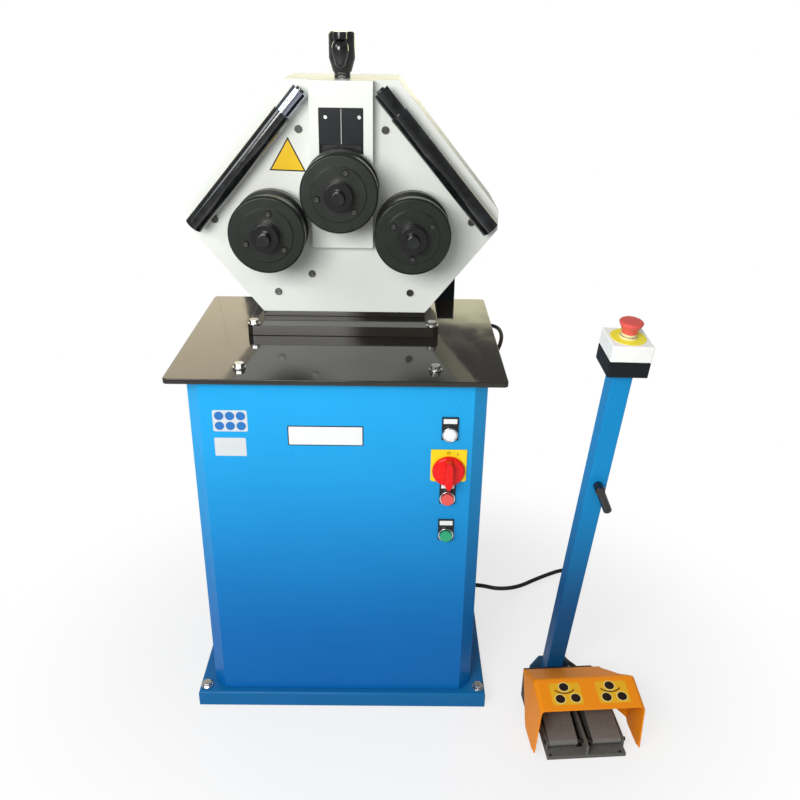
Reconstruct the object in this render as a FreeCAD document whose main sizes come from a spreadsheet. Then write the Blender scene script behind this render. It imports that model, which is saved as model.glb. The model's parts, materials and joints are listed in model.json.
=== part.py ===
import FreeCAD, Part
import math
import os
import Sketcher

# Ring roller on a cabinet, with a foot switch and stop post. Millimetres.
# Origin: centre of the plinth's underside. +X is the operator's right, +Y away from the operator, +Z up.

DIMENSIONS = (
    # plinth
    ("plinth_width", 600.0), ("plinth_depth", 454.0), ("plinth_height", 35.0), ("plinth_wall", 3.0),
    ("plinth_ledge", 60.0), ("plinth_bend", 6.0), ("anchor_inset", 15.0), ("anchor_setback", 20.0),
    # hexagon bolts M10
    ("bolt_radius", 5.0), ("bolt_flats", 17.0), ("bolt_head", 7.0), ("washer_radius", 12.0),
    ("washer_thickness", 2.5),
    # cabinet
    ("cabinet_width", 540.0), ("cabinet_depth", 426.0), ("cabinet_height", 705.0), ("cabinet_wall", 3.0),
    ("cabinet_bevel", 25.0), ("cabinet_rim", 60.0), ("door_width", 410.0), ("door_low", 70.0),
    ("door_height", 530.0), ("door_lap", 15.0), ("door_gap", 0.3), ("hinge_radius", 6.0),
    ("hinge_pin", 3.0), ("hinge_leaf", 28.0), ("hinge_sheet", 3.0), ("hinge_height", 60.0),
    ("knob_radius", 14.0), ("knob_stalk", 10.0), ("knob_body", 14.0), ("knob_edge", 4.0),
    ("knob_inset", 30.0), ("tray_width", 300.0), ("tray_height", 400.0), ("tray_standoff", 20.0),
    ("contactor_width", 45.0), ("contactor_depth", 80.0), ("contactor_pitch", 55.0),
    ("transformer_side", 90.0), ("tray_split", 40.0), ("standoff_radius", 6.0), ("standoff_inset", 20.0),
    ("tray_sheet", 2.0),
    # operating controls on the cabinet's front
    ("controls_x", 203.0), ("start_z", 425.0), ("stop_rise", 80.8), ("switch_rise", 68.2),
    ("lamp_rise", 65.5), ("device_radius", 11.0), ("device_length", 40.0), ("legend_width", 30.0),
    ("legend_height", 46.0), ("legend_drop", 13.0), ("legend_thickness", 3.0), ("lens_radius", 14.3),
    ("lens_length", 7.0), ("cap_radius", 12.0), ("cap_length", 4.0), ("bezel_radius", 14.5),
    ("bezel_length", 4.0), ("bezel_floor", 1.0), ("button_travel", 4.0), ("stem_radius", 6.0),
    ("plate_side", 66.0), ("plate_cut", 3.0), ("switch_drop", 9.0), ("switch_radius", 30.0),
    ("switch_disc", 9.0), ("switch_grip", 20.0), ("grip_width", 15.0), ("spindle_radius", 5.0),
    # table
    ("table_width", 600.0), ("table_depth", 470.0), ("table_thickness", 10.0), ("table_corner", 8.0),
    ("table_bolt_x", 174.7), ("table_bolt_y", 181.0),
    # head casting and plates
    ("head_face", 47.0), ("head_depth", 170.0), ("flange_ledge", 25.0), ("flange_reach", 62.0),
    ("flange_tail", 8.0), ("flange_thickness", 20.0), ("flange_bevel", 10.0), ("flange_bolt_gap", 0.7),
    ("flange_bolt_setback", 12.0), ("riser_thickness", 10.0), ("plate_thickness", 15.0),
    ("cover_wall", 3.0), ("foot_half", 162.0), ("side_half", 298.0), ("crown_half", 105.0),
    ("side_low", 170.0), ("side_high", 207.0), ("head_height", 438.0), ("tie_radius", 10.0),
    ("tie_screw", 7.0), ("tie_screw_head", 4.0), ("stop_screw_x", 63.0), ("stop_screw_rise", 78.6),
    ("tie_upper_x", 80.0), ("tie_upper_rise", 352.0), ("tie_middle_x", 247.0), ("tie_middle_rise", 184.0),
    ("tie_lower_x", 131.0), ("tie_lower_rise", 41.5),
    # slide
    ("frame_half", 58.0), ("frame_proud", 25.0), ("frame_low", 137.0), ("window_half", 40.5),
    ("window_low", 188.0), ("window_high", 392.0), ("gib_thickness", 4.0), ("slide_gap", 0.05),
    ("thread_land", 2.0), ("screw_clear", 3.0), ("screw_passage", 1.0), ("screw_collar_height", 9.7),
    ("carrier_reach", 30.0), ("block_low", 205.0), ("block_high", 342.0), ("block_recess", 7.0),
    ("block_depth", 131.0), ("shield_drop", 64.0), ("shield_thickness", 5.0), ("shield_slit", 1.2),
    ("slide_up", 40.0),
    # rollers
    ("roller_radius", 70.0), ("disc_width", 24.0), ("ring_width", 39.0), ("ring_radius", 65.0),
    ("roller_gap", 30.0), ("roller_edge", 3.0), ("boss_radius", 49.0), ("boss_height", 2.0),
    ("hub_radius", 25.0), ("hub_length", 25.0), ("nub_radius", 11.5), ("nub_length", 15.0),
    ("collar_radius", 30.0), ("collar_gap", 0.5), ("screw_circle", 40.0), ("screw_head_radius", 5.5),
    ("screw_head", 5.0), ("lower_rise", 180.5), ("upper_rise", 255.0), ("shaft_radius", 20.0),
    ("running_gap", 0.05), ("rest_gap", 0.3), ("bearing_radius", 36.0), ("upper_bearing_radius", 30.0),
    # gears and drive
    ("gear_module", 6.0), ("gear_width", 20.0), ("gear_setback", 123.0), ("pinion_radius", 15.0),
    ("neck_radius", 55.0), ("neck_length", 45.0), ("wheel_case_radius", 75.0),
    ("wheel_case_length", 126.0), ("worm_offset", 90.0), ("worm_case_radius", 48.0),
    ("motor_radius", 70.0), ("motor_length", 200.0), ("motor_flange_radius", 80.0),
    ("motor_flange", 12.0), ("fan_cover_length", 50.0), ("terminal_width", 76.0),
    ("terminal_depth", 74.0), ("terminal_height", 70.0), ("terminal_rise", 98.5),
    ("terminal_forward", 25.0),
    # lead screw and crank
    ("spindle_setback", 37.0), ("screw_radius", 12.0), ("screw_block_height", 30.0),
    ("screw_collar", 20.0), ("nut_radius", 15.0), ("nut_height", 5.5), ("crank_neck", 17.0),
    ("crank_taper", 24.0), ("crank_hub_radius", 24.0), ("crank_hub_height", 44.0), ("grip_reach", 54.0),
    ("grip_radius", 15.0), ("grip_stem", 6.0), ("grip_drop", 12.0), ("grip_height", 44.0),
    # guide bars
    ("bar_radius", 17.5), ("bar_neck", 15.5), ("bar_neck_length", 50.0), ("bar_top_x", 71.5),
    ("bar_top_rise", 421.6), ("bar_low_x", 281.0), ("bar_low_rise", 177.0), ("bracket_radius", 8.0),
    ("bracket_inset", 14.0),
    # foot switch, measured in its own frame: origin at its front edge
    ("pedal_x", 488.7), ("pedal_y", -359.0), ("pedal_turn", 4.1), ("base_width", 158.0),
    ("base_depth", 176.0), ("base_floor", 8.0), ("base_wall", 5.0), ("base_side_height", 28.0),
    ("rib_width", 6.0), ("rib_height", 30.0), ("pad_width", 58.0), ("pad_length", 88.0),
    ("pad_thickness", 5.0), ("pad_slope", 9.0), ("pad_gap", 12.0), ("pivot_y", 24.0), ("pivot_z", 22.0),
    ("pivot_radius", 4.0), ("knuckle_radius", 7.0), ("housing_depth", 40.0), ("housing_height", 74.0),
    ("housing_side", 38.0), ("housing_shoulder", 50.0), ("hood_x", 6.0), ("hood_width", 207.0),
    ("hood_wall", 3.0), ("visor_y", 16.0), ("visor_z", 112.0), ("ridge_y", 88.0), ("ridge_z", 125.0),
    ("hood_tail_y", 165.0), ("hood_tail_z", 80.0), ("hood_skirt_z", 5.0), ("skirt_run", 64.0),
    ("skirt_lift", 9.0),
    # stop post, measured along its own leaning axis
    ("post_x", 446.0), ("post_y", -152.0), ("post_side", 35.0), ("post_lift", 3.0), ("post_wall", 3.0),
    ("post_length", 794.5), ("post_forward", 7.4), ("post_right", 2.3), ("bracket_width", 88.0),
    ("bracket_height", 50.0), ("bracket_wall", 3.0), ("bracket_corner", 18.0), ("bracket_foot", 62.0),
    ("bracket_x", -20.0), ("stop_side", 70.0), ("stop_base", 29.0), ("stop_lid", 29.5),
    ("stop_wall", 3.0), ("mushroom_radius", 20.0), ("mushroom_height", 25.5), ("mushroom_neck", 13.2),
    ("stop_stem", 10.0), ("mushroom_gap", 5.0), ("clamp_height", 558.0), ("clamp_hub", 9.0),
    ("clamp_hub_length", 20.0), ("clamp_grip_radius", 8.0), ("clamp_grip", 58.0), ("clamp_lean", 153.0),
    ("clamp_screw", 4.0),
    # cables
    ("pedal_cord_diameter", 10.0), ("motor_cable_diameter", 8.0), ("gland_radius", 10.0),
    ("gland_length", 12.0), ("short_gland", 6.0), ("thread_radius", 7.0), ("pedal_gland_y", 95.0),
    ("pedal_gland_z", 72.0), ("motor_gland_y", 5.0), ("motor_gland_z", 690.0), ("inlet_x", -120.0),
    ("inlet_z", 660.0), ("inlet_radius", 5.0), ("inlet_length", 30.0), ("base_inlet_x", 40.0),
    ("base_inlet_z", 24.0), ("box_gland_x", 214.0),
)

GEAR_TEETH = 30
PINION_TEETH = 14
PRESSURE_ANGLE = 20.0
ROOT_DEPTH = 1.25               # tooth depth below the pitch circle, in modules
BACKLASH = 0.04                 # tooth thinning at the pitch circle, in modules
SIDES = (("left", -1), ("right", 1))
LOWER_FIRST_SCREWS = (82, 30)     # angle of the first disc screw from +X, left and right roller
UPPER_FIRST_SCREW = 72
AXES = {
    "x": ((0, 1, 0), 90.0), "y": ((1, 0, 0), -90.0), "z": ((0, 0, 1), 0.0),
}

doc = FreeCAD.newDocument("ring_roller")
nodes = {}


class Size:
    """A length or angle with its formula, so that plain arithmetic on sizes also writes the formula."""

    def __init__(self, value, formula):
        self.value = value
        self.formula = formula

    def __add__(self, other):
        return joined(self, "+", other)

    def __radd__(self, other):
        return joined(other, "+", self)

    def __sub__(self, other):
        return joined(self, "-", other)

    def __rsub__(self, other):
        return joined(other, "-", self)

    def __mul__(self, other):
        return joined(self, "*", other)

    def __rmul__(self, other):
        return joined(other, "*", self)

    def __truediv__(self, other):
        return joined(self, "/", other)

    def __rtruediv__(self, other):
        return joined(other, "/", self)

    def __neg__(self):
        return joined(0, "-", self)


def sized(item):
    """A bare number as a size."""
    return item if isinstance(item, Size) else Size(float(item), repr(float(item)))


def joined(first, sign, second):
    first, second = sized(first), sized(second)
    results = {
        "+": lambda: first.value + second.value,
        "-": lambda: first.value - second.value,
        "*": lambda: first.value * second.value,
        "/": lambda: first.value / second.value,
    }
    return Size(results[sign](), f"({first.formula} {sign} {second.formula})")


def hypotenuse(first, second):
    return Size(math.hypot(first.value, second.value), f"sqrt({first.formula}^2 + {second.formula}^2)")


def slope(rise, run):
    """Angle in degrees of a line that climbs rise over run."""
    angle = math.degrees(math.atan2(rise.value, run.value))
    return Size(angle, f"atan2({rise.formula}; {run.formula}) / 1deg")


def write_sheet():
    sheet = doc.addObject("Spreadsheet::Sheet", "Dims")
    for row, (alias, number) in enumerate(DIMENSIONS, start=1):
        sheet.set(f"A{row}", str(number))
        sheet.setAlias(f"A{row}", alias)
    doc.recompute()
    return {alias: Size(float(sheet.get(alias)), f"Dims.{alias}") for alias, _ in DIMENSIONS}


class Sizes:
    def __init__(self, cells):
        self.__dict__.update(cells)


dim = Sizes(write_sheet())

PLINTH_TOP = dim.plinth_height
CABINET_TOP = PLINTH_TOP + dim.cabinet_height
TABLE_TOP = CABINET_TOP + dim.table_thickness
FLANGE_TOP = TABLE_TOP + dim.flange_thickness
HEAD_BASE = FLANGE_TOP + dim.riser_thickness
HEAD_TOP = HEAD_BASE + dim.head_height
HEAD_REAR = dim.head_face + dim.head_depth
CABINET_FRONT = -dim.cabinet_depth / 2
STOP_Z = dim.start_z + dim.stop_rise
SWITCH_Z = STOP_Z + dim.switch_rise
KNOB_Z = SWITCH_Z - dim.switch_drop
LAMP_Z = SWITCH_Z + dim.lamp_rise
CABINET_REAR = dim.cabinet_depth / 2
CABINET_SIDE = dim.cabinet_width / 2
PLATE_REAR = dim.head_face + dim.plate_thickness
BACK_PLATE_FACE = HEAD_REAR - dim.plate_thickness
FRAME_FACE = dim.head_face - dim.frame_proud
ROLLER_REAR = dim.head_face - dim.roller_gap
ROLLER_FACE = ROLLER_REAR - dim.disc_width * 2 - dim.ring_width
LOWER_Z = HEAD_BASE + dim.lower_rise
UPPER_Z = HEAD_BASE + dim.upper_rise
LOWER_X = dim.gear_module * ((GEAR_TEETH + PINION_TEETH) / 2)
GEAR_FACE = dim.head_face + dim.gear_setback
SPINDLE_Y = dim.head_face + dim.spindle_setback
MOTOR_Y = HEAD_REAR + dim.neck_length + dim.wheel_case_length / 2
MOTOR_TOP = LOWER_Z - dim.wheel_case_radius - dim.motor_flange
MOTOR_LOW = MOTOR_TOP - dim.motor_length
TERMINAL_Z = MOTOR_LOW + dim.terminal_rise
THREAD_FLOOR = UPPER_Z + dim.shaft_radius + dim.thread_land
SCREW_FOOT = THREAD_FLOOR + dim.slide_up + dim.screw_clear
BLOCK_FACE = FRAME_FACE + dim.block_recess
BLOCK_REAR = BLOCK_FACE + dim.block_depth
BLOCK_HALF = dim.window_half - dim.gib_thickness - dim.slide_gap


# ---------------------------------------------------------------- building blocks

def bind(item, field, size):
    """Tie one property to its formula."""
    item.setExpression(field, sized(size).formula)


def locate(item, at, axis="z", turn=None):
    """Put an object at a point, turned from +Z to the named axis or by an angle about an axis."""
    direction, angle = AXES[axis] if turn is None else (turn[0], sized(turn[1]).value)
    spot = FreeCAD.Vector(*[sized(part).value for part in at])
    item.Placement = FreeCAD.Placement(spot, FreeCAD.Rotation(FreeCAD.Vector(*direction), angle))
    for name, part in zip("xyz", at):
        if isinstance(part, Size):
            bind(item, f"Placement.Base.{name}", part)
    if turn is not None and isinstance(turn[1], Size):
        bind(item, "Placement.Rotation.Angle", turn[1])
    return item


def primitive(kind, **sizes):
    item = doc.addObject("Part::" + kind, kind.lower())
    for field, size in sizes.items():
        if isinstance(size, Size):
            bind(item, field, size)
        else:
            setattr(item, field, size)
    return item


def box(size, at, turn=None):
    return locate(primitive("Box", Length=size[0], Width=size[1], Height=size[2]), at, "z", turn)


def block(low, high):
    """A box between two corners."""
    return box([top - bottom for bottom, top in zip(low, high)], low)


def cylinder(radius, length, at, axis="z", turn=None):
    return locate(primitive("Cylinder", Radius=radius, Height=length), at, axis, turn)


def cone(low_radius, high_radius, length, at, axis="z", turn=None):
    item = primitive("Cone", Radius1=low_radius, Radius2=high_radius, Height=length)
    return locate(item, at, axis, turn)


def tube(outer, bore, length, at, axis="z"):
    return cut(cylinder(outer, length, at, axis), cylinder(bore, length, at, axis))


def hexagon(flats, height, at, axis="z"):
    item = primitive("Prism", Polygon=6, Circumradius=flats / math.sqrt(3), Height=height)
    return locate(item, at, axis)


def fuse(*pieces):
    if len(pieces) == 1:
        return pieces[0]
    item = doc.addObject("Part::MultiFuse", "fusion")
    item.Shapes = list(pieces)
    return item


def cut(base, *tools):
    item = doc.addObject("Part::Cut", "cutout")
    item.Base = base
    item.Tool = fuse(*tools)
    return item


def group(*pieces):
    if len(pieces) == 1:
        return pieces[0]
    item = doc.addObject("Part::Compound", "group")
    item.Links = list(pieces)
    return item


def node(label, item):
    """Name a finished sub-part."""
    item.Label = label
    nodes[label] = item
    return item


def pin_point(sketch, geometry, point, spot):
    """Hold a sketch point at signed distances from the sketch's origin."""
    for kind, size, axis in (("DistanceX", spot[0], -2), ("DistanceY", spot[1], -1)):
        if isinstance(size, Size):
            index = sketch.addConstraint(Sketcher.Constraint(kind, -1, 1, geometry, point, size.value))
            bind(sketch, f"Constraints[{index}]", size)
        elif size == 0:
            sketch.addConstraint(Sketcher.Constraint("PointOnObject", geometry, point, axis))
        else:
            sketch.addConstraint(Sketcher.Constraint(kind, -1, 1, geometry, point, float(size)))


def sketch_in(body, outline, circles=()):
    """A sketch on the body's own XY plane: one closed outline and round holes."""
    plane = [part for part in body.Origin.OriginFeatures if part.Role == "XY_Plane"][0]
    sketch = body.newObject("Sketcher::SketchObject", "profile")
    sketch.AttachmentSupport = (plane, [""])
    sketch.MapMode = "FlatFace"
    spots = [FreeCAD.Vector(sized(u).value, sized(v).value, 0) for u, v in outline]
    for index, spot in enumerate(spots):
        sketch.addGeometry(Part.LineSegment(spot, spots[(index + 1) % len(spots)]))
    for index, spot in enumerate(outline):
        following = (index + 1) % len(outline)
        sketch.addConstraint(Sketcher.Constraint("Coincident", index, 2, following, 1))
        pin_point(sketch, index, 1, spot)
    for u, v, radius in circles:
        middle = FreeCAD.Vector(sized(u).value, sized(v).value, 0)
        ring = sketch.addGeometry(Part.Circle(middle, FreeCAD.Vector(0, 0, 1), sized(radius).value))
        pin_point(sketch, ring, 3, (u, v))
        index = sketch.addConstraint(Sketcher.Constraint("Radius", ring, sized(radius).value))
        bind(sketch, f"Constraints[{index}]", radius)
    return sketch


def plate(outline, thickness, at, axis="z", circles=()):
    """A padded outline. Its sketch lies in XY for axis z, in XZ for y and in YZ for x."""
    body = doc.addObject("PartDesign::Body", "plate")
    sketch = sketch_in(body, outline, circles)
    pad = body.newObject("PartDesign::Pad", "pad")
    pad.Profile = sketch
    bind(pad, "Length", thickness)
    pad.Reversed = axis == "y"
    turns = {"z": ((0, 0, 1), 0.0), "y": ((1, 0, 0), 90.0), "x": ((1, 1, 1), 120.0)}
    return locate(body, at, "z", turns[axis])


def turned(profile, at, axis="z", turn=None):
    """A revolved piece. Profile points are (radius, height along the axis)."""
    body = doc.addObject("PartDesign::Body", "turning")
    sketch = sketch_in(body, profile)
    solid = body.newObject("PartDesign::Revolution", "revolution")
    solid.Profile = sketch
    solid.ReferenceAxis = (sketch, ["V_Axis"])
    solid.Angle = 360.0
    turns = {"z": ((1, 0, 0), 90.0), "y": ((0, 0, 1), 0.0), "x": ((0, 0, 1), -90.0)}
    return locate(body, at, "z", turn or turns[axis])


def round_edges(body, radius, wanted):
    """Fillet the edges of a body's tip that the test picks."""
    doc.recompute()
    tip = body.Tip
    names = [f"Edge{number}" for number, edge in enumerate(tip.Shape.Edges, start=1) if wanted(edge)]
    fillet = body.newObject("PartDesign::Fillet", "rounding")
    fillet.Base = (tip, names)
    bind(fillet, "Radius", radius)
    return body


def rectangle(left, front, right, rear):
    return [(left, front), (right, front), (right, rear), (left, rear)]


def upright(edge):
    return abs(edge.tangentAt(edge.FirstParameter).z) > 0.99


def hex_bolt(shank, at):
    """Washer and hexagon bolt standing on a face at the given point."""
    x, y, z = at
    washer = tube(dim.washer_radius, dim.bolt_radius, dim.washer_thickness, at)
    head = hexagon(dim.bolt_flats, dim.bolt_head, (x, y, z + dim.washer_thickness))
    stem = cylinder(dim.bolt_radius, shank + dim.washer_thickness, (x, y, z - shank))
    return [washer, fuse(head, stem)]


# ---------------------------------------------------------------- cabinet

def make_plinth():
    half_width, half_depth = dim.plinth_width / 2, dim.plinth_depth / 2
    outer = plate(rectangle(-half_width, -half_depth, half_width, half_depth), dim.plinth_height, (0, 0, 0))
    height = dim.plinth_height.value
    round_edges(outer, dim.plinth_bend, lambda edge: abs(edge.CenterOfMass.z - height) < 1e-3)
    wall, ledge = dim.plinth_wall, dim.plinth_ledge
    hollow = block((wall - half_width, wall - half_depth, wall),
                   (half_width - wall, half_depth - wall, PLINTH_TOP - wall))
    mouth = block((ledge - half_width, ledge - half_depth, wall),
                  (half_width - ledge, half_depth - ledge, PLINTH_TOP + wall))
    spots = [(side * (half_width - dim.anchor_inset), end * (half_depth - dim.anchor_setback))
             for side in (-1, 1) for end in (-1, 1)]
    holes = [cylinder(dim.bolt_radius, PLINTH_TOP + wall, (x, y, -wall)) for x, y in spots]
    node("plinth", cut(outer, hollow, mouth, *holes))
    return [piece for x, y in spots for piece in hex_bolt(PLINTH_TOP - 1, (x, y, PLINTH_TOP))]


def cabinet_outline(inset):
    """Plan of the cabinet with its two bevelled front corners, drawn in by the inset."""
    side = CABINET_SIDE - inset
    front, rear = CABINET_FRONT + inset, CABINET_REAR - inset
    bevel = dim.cabinet_bevel - inset * (2 - math.sqrt(2))
    return [(bevel - side, front), (side - bevel, front), (side, front + bevel), (side, rear),
            (-side, rear), (-side, front + bevel)]


def make_cabinet():
    wall = dim.cabinet_wall
    outer = plate(cabinet_outline(0), dim.cabinet_height, (0, 0, PLINTH_TOP))
    inner = plate(cabinet_outline(wall), dim.cabinet_height - wall * 2, (0, 0, PLINTH_TOP + wall))
    rim = dim.cabinet_rim
    mouth = block((rim - CABINET_SIDE, CABINET_FRONT + rim, CABINET_TOP - wall * 2),
                  (CABINET_SIDE - rim, CABINET_REAR - rim, CABINET_TOP + wall))
    lap = dim.door_lap
    doorway = block((lap - dim.door_width / 2, CABINET_REAR - wall * 2, dim.door_low + lap),
                    (dim.door_width / 2 - lap, CABINET_REAR + wall, dim.door_low + dim.door_height - lap))
    holes = [cylinder(dim.device_radius, wall * 3, (dim.controls_x, CABINET_FRONT - wall, height), "y")
             for height in (LAMP_Z, KNOB_Z, STOP_Z, dim.start_z)]
    holes += [cylinder(dim.bolt_radius, wall * 4, (x, y, CABINET_TOP - wall * 3)) for x, y in table_spots()]
    holes += [cylinder(dim.thread_radius, wall * 3, (CABINET_SIDE - wall * 2, y, z), "x")
              for y, z in SIDE_GLANDS]
    inlet = (dim.inlet_x, CABINET_REAR - wall * 2, dim.inlet_z)
    holes.append(cylinder(dim.thread_radius, wall * 3, inlet, "y"))
    node("cabinet_shell", cut(outer, inner, mouth, doorway, *holes))


def table_spots():
    return [(side * dim.table_bolt_x, -dim.table_bolt_y) for side in (-1, 1)]


def flange_spots():
    front = dim.head_face - dim.flange_reach + dim.flange_bolt_setback
    rear = HEAD_REAR + dim.flange_tail - dim.flange_bolt_setback
    reach = dim.foot_half + dim.washer_radius + dim.flange_bolt_gap
    return [(side * reach, y) for side in (-1, 1) for y in (front, rear)]


def make_table():
    half_width, half_depth = dim.table_width / 2, dim.table_depth / 2
    holes = [(x, y, dim.bolt_radius) for x, y in table_spots() + flange_spots()]
    slab = plate(rectangle(-half_width, -half_depth, half_width, half_depth), dim.table_thickness,
                 (0, 0, CABINET_TOP), "z", holes)
    corner = half_width.value
    round_edges(slab, dim.table_corner,
                lambda edge: upright(edge) and abs(abs(edge.CenterOfMass.x) - corner) < 1e-3)
    node("table_plate", slab)
    bolts = []
    for x, y in table_spots():
        bolts += hex_bolt(dim.table_thickness + dim.cabinet_wall * 2, (x, y, TABLE_TOP))
    for x, y in flange_spots():
        bolts += hex_bolt(dim.flange_thickness + dim.table_thickness, (x, y, FLANGE_TOP))
    return bolts


def make_door():
    low, high = dim.door_low, dim.door_low + dim.door_height
    half = dim.door_width / 2
    inside = CABINET_REAR + dim.door_gap
    outside = inside + dim.cabinet_wall
    panel = block((-half, inside, low), (half, outside, high))
    axis_x = -half - dim.hinge_radius - 2
    axis_y = CABINET_REAR + dim.hinge_radius + 2
    moving, fixed = [panel], []
    half_height = dim.hinge_height / 2
    for share in (0.15, 0.75):
        foot = low + dim.door_height * share
        middle = foot + half_height
        leaf = block((axis_x - dim.hinge_leaf, CABINET_REAR, foot),
                     (axis_x, CABINET_REAR + dim.hinge_sheet, middle))
        knuckle = cylinder(dim.hinge_radius, half_height, (axis_x, axis_y, foot))
        bore = cylinder(dim.hinge_pin, dim.hinge_height, (axis_x, axis_y, foot))
        fixed.append(cut(fuse(leaf, knuckle), bore))
        fixed.append(cylinder(dim.hinge_pin, dim.hinge_height, (axis_x, axis_y, foot)))
        start = middle + dim.door_gap
        strap = block((axis_x, outside, start),
                      (axis_x + dim.hinge_leaf, outside + dim.hinge_sheet, foot + dim.hinge_height))
        curl = cylinder(dim.hinge_radius, half_height - dim.door_gap, (axis_x, axis_y, start))
        clear = cylinder(dim.hinge_pin + dim.running_gap, dim.hinge_height, (axis_x, axis_y, foot))
        moving.append(cut(fuse(strap, curl), clear))
    knob_end = dim.knob_stalk + dim.knob_body
    knob = turned([(0, 0), (dim.knob_radius * 0.5, 0), (dim.knob_radius * 0.5, dim.knob_stalk),
                   (dim.knob_radius, dim.knob_stalk + dim.knob_edge),
                   (dim.knob_radius, knob_end - dim.knob_edge / 2), (0, knob_end)],
                  (half - dim.knob_inset, outside, low + dim.door_height / 2), "y")
    node("rear_door", group(fuse(*moving), knob))
    node("door_hinges", group(*fixed))


def make_electrics():
    """Mounting tray on four stand-offs inside the cabinet's left wall, with its switchgear."""
    wall_x = dim.cabinet_wall - CABINET_SIDE
    tray_x = wall_x + dim.tray_standoff
    half_width, middle = dim.tray_width / 2, PLINTH_TOP + dim.cabinet_height * 0.5
    low, high = middle - dim.tray_height / 2, middle + dim.tray_height / 2
    face = tray_x + dim.tray_sheet
    tray = block((tray_x, -half_width, low), (face, half_width, high))
    inset = dim.standoff_inset
    radius, reach_out = dim.standoff_radius, half_width - inset
    posts = [cylinder(radius, dim.tray_standoff, (wall_x, side * reach_out, height), "x")
             for side in (-1, 1) for height in (low + inset, high - inset)]
    reach, shelf = face + dim.contactor_depth, middle + dim.tray_split
    gear = [block((face, dim.contactor_pitch * place, shelf),
                  (reach, dim.contactor_pitch * place + dim.contactor_width, shelf + dim.contactor_depth))
            for place in (-2, -1, 0, 1)]
    side, lintel = dim.transformer_side, middle - dim.tray_split
    gear.append(block((face, -side, lintel - side), (face + side, 0, lintel)))
    node("electrics_tray", group(fuse(tray, *posts), *gear))


# ---------------------------------------------------------------- controls

def make_controls():
    x, front = dim.controls_x, CABINET_FRONT
    legend_face = front - dim.legend_thickness
    legends, bodies = [], []
    for height in (LAMP_Z, STOP_Z, dim.start_z):
        low = height - dim.legend_drop
        tag = block((x - dim.legend_width / 2, legend_face, low),
                    (x + dim.legend_width / 2, front, low + dim.legend_height))
        legends.append(cut(tag, cylinder(dim.device_radius, dim.legend_thickness * 3,
                                         (x, legend_face - dim.legend_thickness, height), "y")))
    node("legend_holders", group(*legends))

    lens = turned([(0, 0), (dim.lens_radius, 0), (dim.lens_radius, dim.lens_length * 0.6),
                   (dim.lens_radius * 0.75, dim.lens_length), (0, dim.lens_length)],
                  (x, legend_face, LAMP_Z), "y", ((0, 0, 1), 180.0))
    node("pilot_lamp", fuse(lens, cylinder(dim.device_radius, dim.device_length,
                                           (x, legend_face, LAMP_Z), "y")))

    for label, height in (("stop_button", STOP_Z), ("start_button", dim.start_z)):
        bezel_face = legend_face - dim.bezel_length
        shell = fuse(cylinder(dim.bezel_radius, dim.bezel_length, (x, bezel_face, height), "y"),
                     cylinder(dim.device_radius, dim.device_length, (x, legend_face, height), "y"))
        mouth = cylinder(dim.cap_radius + dim.running_gap, dim.bezel_length,
                         (x, bezel_face - dim.bezel_floor, height), "y")
        stem_length = dim.bezel_length + dim.device_length * 0.5
        bore = cylinder(dim.stem_radius + dim.running_gap, stem_length + dim.button_travel + 3,
                        (x, bezel_face, height), "y")
        bodies.append(cut(shell, mouth, bore))
        cap_back = legend_face - dim.bezel_floor - dim.button_travel - 0.5
        cap = turned([(0, 0), (dim.cap_radius, 0), (dim.cap_radius, dim.cap_length - 1),
                      (dim.cap_radius - 1, dim.cap_length), (0, dim.cap_length)],
                     (x, cap_back, height), "y", ((0, 0, 1), 180.0))
        stem = cylinder(dim.stem_radius, stem_length, (x, cap_back, height), "y")
        node(label, fuse(cap, stem))

    side, corner = dim.plate_side / 2, dim.plate_cut
    outline = [(corner - side, -side), (side - corner, -side), (side, corner - side), (side, side),
               (-side, side), (-side, corner - side)]
    hole = [(0, -dim.switch_drop, dim.device_radius)]
    node("switch_plate", plate(outline, dim.legend_thickness, (x, legend_face, SWITCH_Z), "y", hole))
    housing = cylinder(dim.device_radius, dim.device_length, (x, legend_face, KNOB_Z), "y")
    spindle_end = legend_face + dim.device_length * 0.7
    bodies.append(cut(housing, cylinder(dim.spindle_radius + dim.running_gap, dim.device_length * 0.75,
                                        (x, legend_face, KNOB_Z), "y")))
    node("control_bodies", group(*bodies))

    disc_back = legend_face - 0.5
    disc = turned([(0, 0), (dim.switch_radius, 0), (dim.switch_radius, dim.switch_disc - 3),
                   (dim.switch_radius - 3, dim.switch_disc), (0, dim.switch_disc)],
                  (x, disc_back, KNOB_Z), "y", ((0, 0, 1), 180.0))
    half = dim.grip_width / 2
    radius = dim.switch_radius
    grip = plate([(-half * 0.6, 0.9 * radius), (-half, 0.6 * radius), (-half, -0.6 * radius),
                  (-half * 0.25, -0.93 * radius), (half * 0.25, -0.93 * radius), (half, -0.6 * radius),
                  (half, 0.6 * radius), (half * 0.6, 0.9 * radius)], dim.switch_disc + dim.switch_grip,
                 (x, disc_back - dim.switch_disc - dim.switch_grip, KNOB_Z), "y")
    spindle = cylinder(dim.spindle_radius, spindle_end - disc_back, (x, disc_back, KNOB_Z), "y")
    node("switch_knob", fuse(disc, grip, spindle))


# ---------------------------------------------------------------- head

def head_outline():
    """Eight corners of the head seen from the front, as x and height above its foot."""
    right = [(dim.foot_half, 0), (dim.side_half, dim.side_low), (dim.side_half, dim.side_high),
             (dim.crown_half, dim.head_height)]
    return right + [(-x, z) for x, z in reversed(right)]


def tie_spots():
    """Tie rods between the plates: upper, middle and lower pairs, as x and height above the foot."""
    pairs = ((dim.tie_upper_x, dim.tie_upper_rise), (dim.tie_middle_x, dim.tie_middle_rise),
             (dim.tie_lower_x, dim.tie_lower_rise))
    return [(side * x, z) for x, z in pairs for side in (-1, 1)]


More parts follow.
